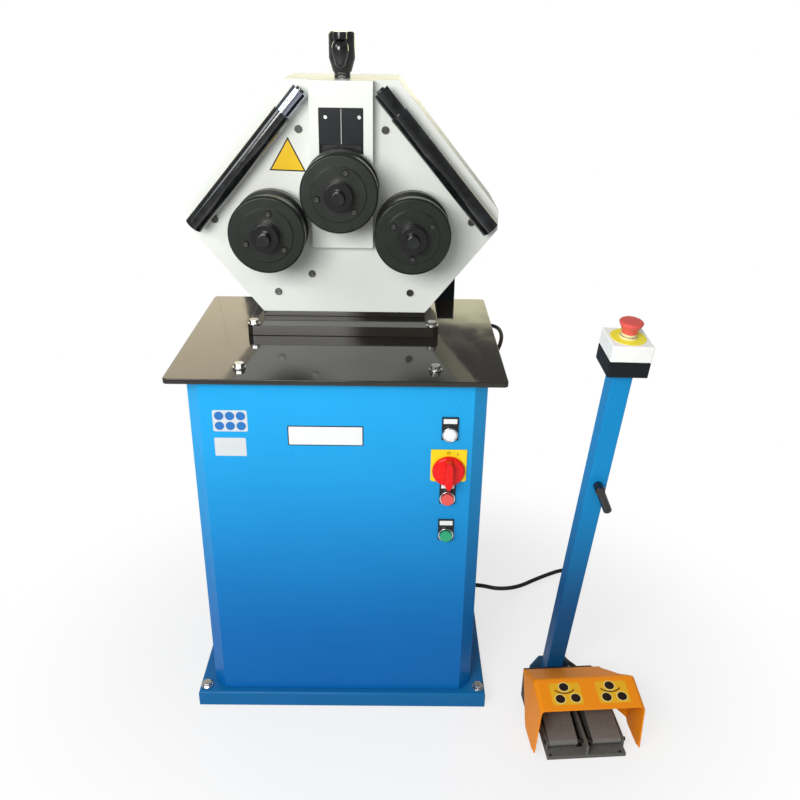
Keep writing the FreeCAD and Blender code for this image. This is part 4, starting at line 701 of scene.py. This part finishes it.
def dress_plates():
    """Bare plates and films on the cabinet's front, and the plain triangle on the head."""
    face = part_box("cabinet_shell")[0].y
    label("name_plate_rim", rounded_outline(*NAME_PLATE_SIZE), on_front(*NAME_PLATE, face), FRONT,
          FILM_BLACK, FILM_DEPTH)
    label("name_plate_blank", rounded_outline(*NAME_FIELD_SIZE), on_front(*NAME_PLATE, face, FILM_DEPTH),
          FRONT, FILM_WHITE)
    label("disc_plate", rounded_outline(*DISC_PLATE_SIZE), on_front(*DISC_PLATE, face), FRONT,
          FILM_GREY, FILM_DEPTH)
    for row, level in ((-1, "low"), (1, "high")):
        for column, side in ((-1, "left"), (0, "middle"), (1, "right")):
            place = on_front(DISC_PLATE[0] + DISC_PITCH_X * column, DISC_PLATE[1] + DISC_PITCH_Z * row,
                             face, FILM_DEPTH)
            label(f"blue_disc_{level}_{side}", circle_outline(DISC_RADIUS), place, FRONT, FILM_BLUE, 0.2)
    label("small_plate_blank", rounded_outline(*SMALL_PLATE_SIZE), on_front(*SMALL_PLATE, face), FRONT,
          FILM_GREY, FILM_DEPTH)
    head_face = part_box("front_plate")[0].y
    middle_x, middle_z = (sum(values) / 3 for values in zip(*TRIANGLE))
    for name, grow, depth, finish in (("triangle_rim", 1.0, 0.25, FILM_BLACK),
                                      ("triangle_face", 0.88, 0.5, FILM_YELLOW)):
        outline = [((x - middle_x) * grow, (z - middle_z) * grow) for x, z in TRIANGLE]
        label(name, outline, on_front(middle_x, middle_z, head_face), FRONT, finish, depth)


# ---------------------------------------------------------------- controls

CONTROLS_X = 203
LAMP_Z, STOP_Z, START_Z = 639.5, 505.8, 425
LEGEND_RISE, LEGEND_SIZE = 25.5, (24.5, 9.5, 0.8)
LENS_PROFILE = ((0, -2), (11.6, -2), (11.6, 5.4), (10.9, 6.2), (8.0, 6.8), (0, 7.0))
BEZEL_PROFILE = ((11.7, 0), (14.3, 0), (14.3, 4.2), (13.2, 5.6), (11.7, 5.6), (11.7, 0))
NOUGHT_PLACE, NOUGHT_RADIUS, NOUGHT_BORE = (202.5, 601.0), 3.0, 1.9
ONE_PLACE, ONE_SIZE = (219.0, 598.5), (1.2, -3.2, 3.2)


def dress_controls():
    edged("legend_holders", 0.8, BLACK_PLASTIC)
    edged("switch_plate", 0.9, YELLOW_PLASTIC)
    edged("control_bodies", 0.6, RIM_METAL)
    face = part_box("legend_holders")[0].y
    for name, height in (("lamp", LAMP_Z), ("stop", STOP_Z), ("start", START_Z)):
        label(f"{name}_legend", rounded_outline(*LEGEND_SIZE),
              on_front(CONTROLS_X, height + LEGEND_RISE, face), FRONT, FILM_WHITE, 0.5)
    lamp_place = on_front(CONTROLS_X, LAMP_Z, face)
    lens = rounded(lathe("pilot_lens", LENS_PROFILE, lamp_place, FRONT, 64), 0.5)
    fitted(lens, "machine", LENS_WHITE, ["pilot_lamp"])
    rim = rounded(lathe("pilot_rim", BEZEL_PROFILE, lamp_place, FRONT, 64), 0.5)
    fitted(rim, "machine", RIM_METAL)
    edged("stop_button", 1.1, MUSHROOM_RED, 3)
    edged("start_button", 1.1, GREEN_PLASTIC, 3)
    dress_switch()


def dress_switch():
    """Round red knob with its pointer, and the two marks on the plate."""
    edged("switch_knob", 1.6, RED_PLASTIC, 3)
    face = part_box("switch_plate")[0].y
    label("mark_nought", circle_outline(NOUGHT_RADIUS, 28), on_front(*NOUGHT_PLACE, face), FRONT,
          FILM_BLACK, 0.2, holes=[circle_outline(NOUGHT_BORE, 28)])
    label("mark_one", bar_outline(*ONE_SIZE), on_front(*ONE_PLACE, face), FRONT, FILM_BLACK, 0.2)


# ---------------------------------------------------------------- head

HEAD_PLATES = (("front_plate", 1.0), ("back_plate", 1.0), ("head_covers", 1.2), ("slide_frame", 1.0))
PLATE_SCREW_RADIUS, PLATE_SCREW_HEIGHT = 7, 4
SHIELD_SCREWS_X, SHIELD_SCREWS_Z = (-28, 33), 1156
# the white strip at the seam between the shields is a painted highlight for the glint on its edge
SEAM_Z, SEAM_SINK, SEAM_SIZE = 1139, 1.2, (1.1, -30, 31)


def dress_head():
    edged("base_flange", 1.2, TABLE_BLACK, 3)
    edged("riser_plate", 0.8, TABLE_BLACK)
    for node, width in HEAD_PLATES:
        edged(node, width, HEAD_WHITE, 3)
    edged("slide_gibs", 0.5, BOX_BLACK)
    edged("slide_block", 0.8, WINDOW_BLACK)
    edged("shaft_bearings", 0.5, BEARING_STEEL)
    edged("upper_bearings", 0.5, BEARING_STEEL)
    edged("screw_carrier", 0.8, BLACKENED)
    edged("lead_screw", 0.4, BEARING_STEEL)
    edged("crank_hub", 0.9, CRANK_BLACK, 3)
    middle = sum(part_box("front_plate"), Vector()).y / 2
    places, facings = [], []
    for low, high in lump_boxes("plate_screws"):
        at_front = low.y < middle
        level = low.y + PLATE_SCREW_HEIGHT * MM if at_front else high.y - PLATE_SCREW_HEIGHT * MM
        places.append(Vector(((low.x + high.x) / 2, level, (low.z + high.z) / 2)))
        facings.append(FRONT if at_front else REAR)
    screws("plate_socket_screws", places, facings, "machine", BURNISHED,
           PLATE_SCREW_RADIUS, PLATE_SCREW_HEIGHT, ["plate_screws"])
    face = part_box("slide_gibs")[0].y
    places = [on_front(x, SHIELD_SCREWS_Z, face) for x in SHIELD_SCREWS_X]
    screws("shield_screws", places, [FRONT] * 2, "machine", ZINC, radius=3.6, height=1.8,
           chamfer=0.5)
    # white strip between the shields: a painted highlight for the glint along the seam
    label("painted_seam_glint", bar_outline(*SEAM_SIZE), on_front(0, SEAM_Z, face, -SEAM_SINK), FRONT,
          FILM_WHITE, 0.4)


CRANK_KNOB_PROFILE = ((5.4, 0), (7.2, 0.2), (8.6, 1.6), (10.2, 6.5), (12.2, 13), (14.1, 20), (14.9, 26),
                      (14.8, 31), (13.9, 35.5), (12.2, 39), (9.8, 41.6))
BAR_TOP, BAR_FOOT = (-71.5, 17, 1201.6), (-281, 17, 957)
NECK_END, NECK_REAR = 50.6, 32.4
BAR_BOLT_PROFILE = ((0, -2), (8, -2), (8, 2.4), (6.8, 3.4), (0, 3.4))


def dress_crank_knob():
    """Pear-shaped knob of the crank, turned and polished."""
    low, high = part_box("crank_knob")
    length = (high.z - low.z) / MM
    profile = (*CRANK_KNOB_PROFILE, (7.2, length - 0.6), (5.4, length), (5.4, 0))
    centre = (low + high) / 2
    knob = lathe("crank_pear_knob", profile, Vector((centre.x, centre.y, low.z)), UP, 72)
    smoothed(knob.data)
    fitted(knob, "crank_grip", CRANK_BLACK, ["crank_knob"])


def dress_guide_bars():
    """Black guide bars with a bolt in each upper end; the left one's neck alone takes a bluish chrome finish,
    a painted highlight for the glint on it.
    """
    bars = edged("guide_bars", 0.8, BAR_BLACK, 3)
    bars.data.materials.append(GLINT_CHROME)
    top, foot = mm(*BAR_TOP), mm(*BAR_FOOT)
    along = (foot - top).normalized()
    # the left neck's faces take the bluish chrome, a painted highlight
    for face in bars.data.polygons:
        reach = (face.center - top).dot(along)
        if face.center.x < 0 and reach < NECK_END * MM and face.center.y < NECK_REAR * MM:
            face.material_index = 1
    for side, mirror in (("left", 1), ("right", -1)):
        start = Vector((mirror * top.x, top.y, top.z))
        outward = Vector((mirror * along.x, 0, along.z)) * -1
        bolt = lathe(f"{side}_bar_bolt", BAR_BOLT_PROFILE, start, outward, 40)
        fitted(rounded(bolt, 0.3), "machine", BURNISHED)


DISC_SETBACK = 25  # the front disc's face behind the foremost point of its node
DISC_SCREW_CIRCLE, DISC_SCREW_SINK = 40, 1.0
FIRST_DISC_SCREW = {"upper": 72, "left": 82, "right": 30}
LEAST_DISC_WIDTH = 20


def is_wide(low, high):
    return high.x - low.x > LEAST_DISC_WIDTH * MM


def dress_rollers():
    """Two discs, hub cap and ring on each shaft, with three socket screws let into the front disc."""
    for roller, centre in ROLLER_CENTRES.items():
        black = ROLLER_BLACK[roller]
        edged(f"{roller}_discs", 0.9, black, 3, is_wide)
        edged(f"{roller}_ring", 0.6, black)
        edged(f"{roller}_shaft", 1.2, CRANK_BLACK, 3)
        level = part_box(f"{roller}_discs")[0].y + DISC_SETBACK * MM - DISC_SCREW_SINK * MM
        places = []
        for third in range(3):
            angle = math.radians(FIRST_DISC_SCREW[roller] + 120 * third)
            places.append(Vector((centre.x + DISC_SCREW_CIRCLE * MM * math.cos(angle), level,
                                  centre.z + DISC_SCREW_CIRCLE * MM * math.sin(angle))))
        screws(f"{roller}_disc_screws", places, [FRONT] * 3, f"{roller}_roller", BURNISHED,
               radius=5.5, height=2.4)


FINS_Z = 773.5


def dress_drive():
    """Gearbox, motor with its fins and fan cover, terminal box."""
    edged("gearbox", 1.6, CAST_GREY)
    edged("motor", 1.6, MOTOR_GREY)
    edged("terminal_box", 1.2, BLACK_PLASTIC)
    axis = sum(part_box("motor"), Vector()) / 2
    fins = loose("motor_fins", bpy.data.meshes.new("motor_fins"))
    FINS.bake(fins, MOTOR_GREY, Count=30, Radius=68 * MM, Length=170 * MM, Thickness=2.0 * MM, Depth=7 * MM)
    fins.data.transform(Matrix.Translation(Vector((axis.x, axis.y, FINS_Z * MM))))
    fitted(fins, "machine", None)


# ---------------------------------------------------------------- foot switch and stop post

FOOT_SWITCH_TURN = Matrix.Rotation(math.radians(4.1), 4, "Z")
PEDAL_PLACE = Matrix.Translation(mm(488.7, -359, 0)) @ FOOT_SWITCH_TURN
POST_PLACE = (Matrix.Translation(mm(446, -152, 0)) @ FOOT_SWITCH_TURN
              @ Matrix.Rotation(math.radians(2.3), 4, "Y") @ Matrix.Rotation(math.radians(7.4), 4, "X"))
PEDAL_RIGHT = PEDAL_PLACE.to_3x3() @ Vector((1, 0, 0))
HOOD_LEFT = -97.5
HOOD_FRONT, HOOD_RIDGE, HOOD_TAIL = (16, 112), (88, 125), (165, 80)
HOOD_SKIRT = ((10, 14), (24, 5), (80, 5), (165, 76.4))
HOOD_RIGHT_EDGE = ((10, 109.5), (88, 109.5), (102, 91), (165, 67))
HOOD_BEND, HOOD_CORNER, HOOD_SPLAY, HOOD_WALL = 5.0, 9.0, 9.0, 3
HOOD_STATIONS = (10, 13, 16, 24, 40, 56, 68, 78, 83, 85, 87, 88, 89, 91, 93, 97, 102, 109, 116, 132, 148,
                 158, 165)


def slope(start, end):
    return (end[1] - start[1]) / (end[0] - start[0])


def on_line(points, y):
    """The second value, at y, of a line through (y, value) points."""
    for near, far in zip(points, points[1:]):
        if y <= far[0]:
            return near[1] + (far[1] - near[1]) * (y - near[0]) / (far[0] - near[0])
    return points[-1][1]


def hood_top(y):
    """Height of the hood's top, with its ridge bent over a small radius."""
    front_slope, rear_slope = slope(HOOD_FRONT, HOOD_RIDGE), slope(HOOD_RIDGE, HOOD_TAIL)
    away = y - HOOD_RIDGE[0]
    if abs(away) < HOOD_BEND:
        share = (away + HOOD_BEND) / (2 * HOOD_BEND)
        start = HOOD_RIDGE[1] - front_slope * HOOD_BEND
        turn_in = (rear_slope - front_slope) * HOOD_BEND * share ** 2
        return start + front_slope * 2 * HOOD_BEND * share + turn_in
    return HOOD_RIDGE[1] + (front_slope if away < 0 else rear_slope) * away


def hood_section(y):
    """Round-cornered U across the hood: left skirt, top, and right skirt, which turns in at the rear."""
    top, foot, right = hood_top(y), on_line(HOOD_SKIRT, y), on_line(HOOD_RIGHT_EDGE, y)
    corner = min(HOOD_CORNER, max(0.5, (top - foot) * 0.8))
    side = []
    for share in (0.0, 0.34, 0.67, 1.0):
        splay = HOOD_SPLAY * (1 - share) * (top - corner - foot) / (HOOD_RIDGE[1] - HOOD_CORNER)
        side.append((HOOD_LEFT - splay, foot + (top - corner - foot) * share))
    for step in range(1, 7):
        angle = math.radians(180 - 15 * step)
        side.append((HOOD_LEFT + corner + corner * math.cos(angle), top - corner + corner * math.sin(angle)))
    middle = [(HOOD_LEFT + corner + (right - HOOD_LEFT - 2 * corner) * share, top)
              for share in (0.25, 0.5, 0.75)]
    mirrored = [(HOOD_LEFT + right - max(x, HOOD_LEFT), z) for x, z in side]
    return side + middle + mirrored[::-1]


def make_hood():
    """Bent sheet-metal hood over the pedals, whose skirts reach further forward low down."""
    front, height = HOOD_FRONT
    foot = HOOD_SKIRT[0][1]
    shape = bmesh.new()
    rows = []
    for y in HOOD_STATIONS:
        lean = max(0.0, front - y)
        rows.append([shape.verts.new(mm(x, y + lean * (z - foot) / (height - foot), z))
                     for x, z in hood_section(max(y, front))])
    for near, far in zip(rows, rows[1:]):
        for k in range(len(near) - 1):
            shape.faces.new((near[k], near[k + 1], far[k + 1], far[k]))
    bmesh.ops.remove_doubles(shape, verts=shape.verts, dist=2 * WELD * MM)
    shape.transform(PEDAL_PLACE)
    hood = from_bmesh("hood_sheet", shape)
    if hood.data.polygons[len(hood.data.polygons) // 2].normal.z < 0:
        hood.data.flip_normals()
    wall = hood.modifiers.new("wall", "SOLIDIFY")
    wall.thickness = HOOD_WALL * MM
    wall.offset = -1
    rounded(hood, 0.8, 2, 50)
    fitted(hood, "machine", HOOD_ORANGE, ["pedal_hood"])


HOOD_PATCH, PATCH_Y, HALO_RADIUS, SPOT_RADIUS = (62, 50, 5), 52, 11.4, 9.3
HOOD_ARC, ARC_RISE = (27.5, 2.2, 225, 315), 13
HOOD_GROUPS = (("left", -39.0, ((-40.7, 67.1), (-53.1, 41.1), (-22.3, 41.8))),
               ("right", 54.0, ((51.3, 66.5), (39.3, 41.0), (70.1, 41.2))))


def hood_film(name, outline, x, y, lift, finish, thickness):
    """A film on the hood's front panel, lift millimetres above its face."""
    lean = math.atan2(HOOD_RIDGE[1] - HOOD_FRONT[1], HOOD_RIDGE[0] - HOOD_FRONT[0])
    normal = PEDAL_PLACE.to_3x3() @ Vector((0, -math.sin(lean), math.cos(lean)))
    at = PEDAL_PLACE @ mm(x, y, hood_top(y)) + normal * lift * MM
    label(name, outline, at, normal, finish, thickness, PEDAL_RIGHT)


def dress_hood_films():
    """Two groups of three dark discs and an arc on yellow patches."""
    for side, middle, discs in HOOD_GROUPS:
        hood_film(f"{side}_hood_patch", rounded_outline(*HOOD_PATCH), middle, PATCH_Y, 0.0, FILM_AMBER, 0.25)
        for number, (x, y) in enumerate(discs, start=1):
            hood_film(f"{side}_hood_halo_{number}", circle_outline(HALO_RADIUS), x, y, 0.25, FILM_CREAM, 0.2)
            hood_film(f"{side}_hood_disc_{number}", circle_outline(SPOT_RADIUS), x, y, 0.45, FILM_BROWN, 0.25)
        x, y = discs[0]
        hood_film(f"{side}_hood_arc", arc_outline(*HOOD_ARC), x, y + ARC_RISE, 0.25, FILM_BROWN, 0.5)


BASE_TOP, HOUSING_FRONT = 8, 110
# the black strips at the gaps beside the divider are painted shade on the base floor
GAP_X, GAP_Y, GAP_SIZE = 9.0, 68, (11.5, 92, 1)
# the black discs standing for the two holes in the base are painted shade
BASE_HOLES = (("left", -72.0, 5), ("right", 67.5, 5))
PEDAL_X = 44.0
PAD_FRONT, PAD_REAR, PAD_RUN = 40, 95, 86
RIBS_Y, RIBS_SHARE, RIBS_LIFT = 72, 0.55, 0.3


def dress_pedals():
    base = edged("pedal_base", 1.2, BASE_GREY)
    base.data.materials.append(HOUSING_BROWN)
    back = PEDAL_PLACE.inverted()
    for face in base.data.polygons:
        if (back @ face.center).y > HOUSING_FRONT * MM:
            face.material_index = 1
    edged("pedal_pin", 0.5, BLACKENED)
    # black films on the base floor between pads and divider: painted shade
    for side, x in (("left", -GAP_X), ("right", GAP_X)):
        gap = facing(PEDAL_PLACE @ mm(x, GAP_Y, BASE_TOP), UP, PEDAL_RIGHT)
        shade_strip = card(f"{side}_base_gap_shade", rounded_outline(*GAP_SIZE), FILM_DEPTH, gap)
        fitted(shade_strip, "machine", FILM_BLACK)
    # black discs in place of the holes: painted shade
    for side, x, y in BASE_HOLES:
        label(f"{side}_base_hole_shade", circle_outline(3.0, 24), PEDAL_PLACE @ mm(x, y, BASE_TOP), UP, FILM_BLACK,
              0.25)
    for side, centre in (("left", -PEDAL_X), ("right", PEDAL_X)):
        edged(f"{side}_pedal", 1.4, PEDAL_GREY)
        ribs = loose(f"{side}_pedal_studs", bpy.data.meshes.new(f"{side}_pedal_studs"))
        STUDS.bake(ribs, PEDAL_GREY, Width=52 * MM, Length=66 * MM, Across=15, Along=20)
        put_on_pad(ribs, side, centre)
        fitted(ribs, f"{side}_treadle", None)


def put_on_pad(ribs, side, centre):
    """Lays the ribs on a pedal's upper face, whose height is read near its front and near its rear."""
    back = PEDAL_PLACE.inverted()
    points = [back @ vert.co for vert in nodes[f"{side}_pedal"].data.vertices]
    front = max(point.z for point in points if point.y < PAD_FRONT * MM)
    rear = max(point.z for point in points if point.y > PAD_REAR * MM)
    rise = rear - front
    place = Vector((centre * MM, RIBS_Y * MM, front + rise * RIBS_SHARE + RIBS_LIFT * MM))
    tilt = Matrix.Rotation(math.atan2(rise, PAD_RUN * MM), 4, "X")
    ribs.data.transform(PEDAL_PLACE @ Matrix.Translation(place) @ tilt)


LID_TOP, MUSHROOM_LIFT, PALE_NECK = 853, 5, 3.0
RING_RADIUS, RING_BORE = 30, 13.6
COLLAR_PROFILE = ((13.7, 0), (15.0, 0), (15.0, 3.6), (14.4, 4.2), (13.7, 4.2), (13.7, 0))
MUSHROOM_PROFILE = ((0, -18), (8, -18), (8, 0), (13.2, 0), (13.2, 4.2), (13.2, 8.6), (13.9, 9.6),
                    (19.4, 20.4), (20, 22.0), (19.8, 23.6), (18.4, 24.9), (15.0, 25.4), (0, 25.5))
TIP_PROFILE = ((0, -4), (5.6, -4), (5.9, -1), (5.2, 1.2), (3.2, 2.2), (0, 2.5))
TIP_LEAN = math.radians(153)


def dress_post():
    edged("post_bracket", 1.0, DARK_BLUE)
    edged("stop_post", 1.6, POST_BLUE, 3)
    edged("stop_box_base", 2.0, BOX_BLACK, 3)
    edged("stop_box_lid", 2.0, LID_WHITE, 3)
    edged("clamp_lever", 1.2, CRANK_BLACK, 3)
    normal = POST_PLACE.to_3x3() @ UP
    at = POST_PLACE @ mm(0, 0, LID_TOP)
    label("stop_ring", circle_outline(RING_RADIUS, 64), at, normal, LEMON_PLASTIC, 0.6,
          POST_PLACE.to_3x3() @ Vector((1, 0, 0)), [circle_outline(RING_BORE, 48)])
    collar = rounded(lathe("stop_collar", COLLAR_PROFILE, at, normal, 72), 0.2, 2, 50)
    fitted(collar, "machine", PALE_COLLAR)
    make_mushroom(normal)
    make_clamp_tip()


def make_mushroom(normal):
    """Red stop button on a pale neck."""
    foot = POST_PLACE @ mm(0, 0, LID_TOP + MUSHROOM_LIFT)
    mushroom = rounded(lathe("stop_mushroom_cap", MUSHROOM_PROFILE, foot, normal, 80), 0.4, 2, 50)
    fitted(mushroom, "emergency_stop", MUSHROOM_RED, ["stop_mushroom"])
    mushroom.data.materials.append(PALE_COLLAR)
    for face in mushroom.data.polygons:
        if (face.center - foot).dot(normal) < PALE_NECK * MM:
            face.material_index = 1


def make_clamp_tip():
    """Bright end cap of the clamp's grip."""
    direction = POST_PLACE.to_3x3() @ Vector((math.sin(TIP_LEAN), 0, math.cos(TIP_LEAN)))
    points = [vert.co for vert in nodes["clamp_lever"].data.vertices]
    reach = max(point.dot(direction) for point in points)
    tip = [point for point in points if point.dot(direction) > reach - 0.5 * MM]
    cap = lathe("clamp_tip", TIP_PROFILE, sum(tip, Vector()) / len(tip), direction, 40)
    smoothed(cap.data)
    fitted(cap, "clamp", RIM_METAL)


# ---------------------------------------------------------------- cables

PEDAL_CORD_SIZE, MOTOR_LEAD_SIZE = (10, 813.7), (8, 408.5)  # width and length
PEDAL_CORD_ROUTE = (
    (282, 95, 72), (306, 95, 72), (329, 101, 64), (350, 114, 49), (368, 133, 33), (388, 153, 18),
    (410, 170, 8), (436, 184, 5.3), (470, 207, 5.3), (507, 229, 5.3), (543, 248, 5.3), (577, 252, 5.3),
    (585, 236, 5.3), (586, 204, 5.3), (573, 171, 5.3), (552, 124, 5.3), (525, 75, 5.3), (505, 26, 5.3),
    (490, -23, 5.3), (486, -65, 5.3), (496, -95, 8), (507, -119, 16), (513.42, -143.69, 24),
    (515.21, -168.62, 24),
)
MOTOR_LEAD_ROUTE = (
    (214, 300, 726), (214, 300, 704), (222, 293, 684), (238, 278, 673), (260, 257, 673), (281, 232, 683),
    (298, 202, 700), (314, 169, 712), (325, 133, 718), (327, 97, 717), (322, 64, 712), (312, 37, 704),
    (303, 17, 696), (292, 5, 690), (276, 5, 690),
)


def make_cord(name, route, diameter, length, finish, node):
    """A limp round cord along a route in millimetres, in the place of the CAD piece it stands for."""
    curve = bpy.data.curves.new(name, "CURVE")
    curve.dimensions = "3D"
    curve.resolution_u = 12
    curve.bevel_depth = diameter / 2 * MM
    curve.bevel_resolution = 6
    curve.use_fill_caps = True
    spline = curve.splines.new("NURBS")
    spline.points.add(len(route) - 1)
    for point, place in zip(spline.points, route):
        point.co = (*(part * MM for part in place), 1)
    spline.order_u = 3
    spline.use_endpoint_u = True
    curve.materials.append(finish)
    cord = loose(name, curve)
    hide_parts(node)
    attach(cord, "machine")
    mm(*route[0])


def dress_cables():
    edged("cable_glands", 0.6, BLACK_PLASTIC)
    make_cord("foot_switch_cord", PEDAL_CORD_ROUTE, *PEDAL_CORD_SIZE, SHEATH_BLACK, "pedal_cord")
    make_cord("motor_lead", MOTOR_LEAD_ROUTE, *MOTOR_LEAD_SIZE, SHEATH_BROWN, "motor_cable")


# ---------------------------------------------------------------- what stays as it is

def dress_hidden():
    """Pieces inside the head keep their CAD shape and take a finish."""
    for node in ("left_gear", "right_gear", "drive_pinion", "tie_rods"):
        mesh = nodes[node].data
        mesh.materials.clear()
        mesh.materials.append(BRIGHT_STEEL if node == "tie_rods" else BEARING_STEEL)


# ---------------------------------------------------------------- floor, light and camera

FLOOR_DROP = 0.0005  # keeps the floor clear of the undersides
WHITE = (1, 1, 1, 1)
NEAR_SHARE = 0.7  # how much of the floor near the object is plain white to the camera
FLOOR_MIDDLE, FLOOR_ROUND, FLOOR_FADE = (0.12, -0.05, 0), (0.85, 1, 0), (0.38, 0.85)


def make_floor():
    """Pale floor that keeps a soft shadow."""
    shape = bmesh.new()
    bmesh.ops.create_grid(shape, x_segments=1, y_segments=1, size=30)
    floor = from_bmesh("studio_floor", shape)
    if floor.data.polygons[0].normal.z < 0:
        floor.data.flip_normals()
    floor.data.transform(Matrix.Translation((0, 0, -FLOOR_DROP)))
    paper = Finish("floor_paper", Roughness=0.9, Specular_IOR_Level=0.1)
    paper.set(Base_Color=paper.mix(paper.noise(400, 2), (0.80, 0.80, 0.80, 1), (0.83, 0.83, 0.83, 1)))
    glow = paper.node("ShaderNodeEmission", None, {"Color": WHITE, "Strength": 1.0})
    seen = paper.node("ShaderNodeLightPath", output="Is Camera Ray")
    away = paper.distance(FLOOR_MIDDLE, FLOOR_ROUND).between(*FLOOR_FADE)
    white = seen * (NEAR_SHARE + (1 - NEAR_SHARE) * away)
    blend = paper.node("ShaderNodeMixShader", None, {0: white, 2: glow})
    paper.tree.links.new(paper.shader.outputs[0], blend.socket.node.inputs[1])
    paper.tree.links.new(blend.socket, paper.tree.nodes["Material Output"].inputs[0])
    floor.data.materials.append(paper.material)


FILL_LEVEL = 0.42  # light on matt surfaces from all round
GLOSS_LEVEL = 0.18  # what gloss reflects of it


def make_world():
    """White all round for the camera; a lower, even fill for matt surfaces and a dimmer one for gloss."""
    world = bpy.data.worlds.new("studio")
    world.use_nodes = True
    bpy.context.scene.world = world
    sky = Tree(world.node_tree)
    background = world.node_tree.nodes["Background"]
    seen = sky.node("ShaderNodeLightPath", output="Is Camera Ray")
    mirrored = Signal(sky, seen.socket.node.outputs["Is Glossy Ray"])
    background.inputs["Color"].default_value = WHITE
    sky.feed(background.inputs["Strength"],
             FILL_LEVEL + seen * (1 - FILL_LEVEL) - mirrored * (FILL_LEVEL - GLOSS_LEVEL))


def area_light(name, at, target, size, power, colour):
    data = bpy.data.lights.new(name, "AREA")
    data.shape = "RECTANGLE"
    data.size, data.size_y = size
    data.energy = power
    data.color = colour
    lamp = bpy.data.objects.new(name, data)
    bpy.context.scene.collection.objects.link(lamp)
    away = Vector(target) - Vector(at)
    lamp.matrix_world = Matrix.Translation(at) @ away.to_track_quat("-Z", "Y").to_matrix().to_4x4()
    lamp.visible_camera = False


# name, place, target, size, power in watts, colour
LIGHTS = (("key", (-0.55, -1.85, 1.60), (0, 0, 1.0), (1.0, 0.7), 34, (1, 0.99, 0.97)),
          ("fill", (-2.1, -1.5, 2.3), (0.1, 0, 1.0), (1.0, 1.0), 16, (0.95, 0.98, 1)),
          ("rear", (0.70, 2.5, 1.36), (0.1, 0.2, 0.75), (2.64, 0.5), 10, (1, 0.95, 0.62)),
          ("rear_left", (-1.31, 2.5, 1.68), (0, 0.2, 0.75), (1.38, 0.85), 8.5, (1, 0.86, 0.60)))
CAMERA_PLACE = (0.0997, -1.5535, 1.3203)
CAMERA_TURNS = ((-0.526, "Z"), (65.341, "X"), (0.857, "Z"))
LENS, SENSOR, FARTHEST = 37.46, 36, 50


def make_camera():
    data = bpy.data.cameras.new("camera")
    data.lens, data.sensor_width, data.clip_end = LENS, SENSOR, FARTHEST
    camera = bpy.data.objects.new("camera", data)
    bpy.context.scene.collection.objects.link(camera)
    place = Matrix.Translation(CAMERA_PLACE)
    for degrees, axis in CAMERA_TURNS:
        place = place @ Matrix.Rotation(math.radians(degrees), 4, axis)
    camera.matrix_world = place
    bpy.context.scene.camera = camera


dress_cabinet()
dress_plates()
dress_controls()
dress_head()
dress_crank_knob()
dress_guide_bars()
dress_rollers()
dress_drive()
make_hood()
dress_hood_films()
dress_pedals()
dress_post()
dress_cables()
dress_hidden()
make_floor()
make_world()
for light in LIGHTS:
    area_light(*light)
make_camera()
bpy.context.scene.view_settings.view_transform = "Standard"
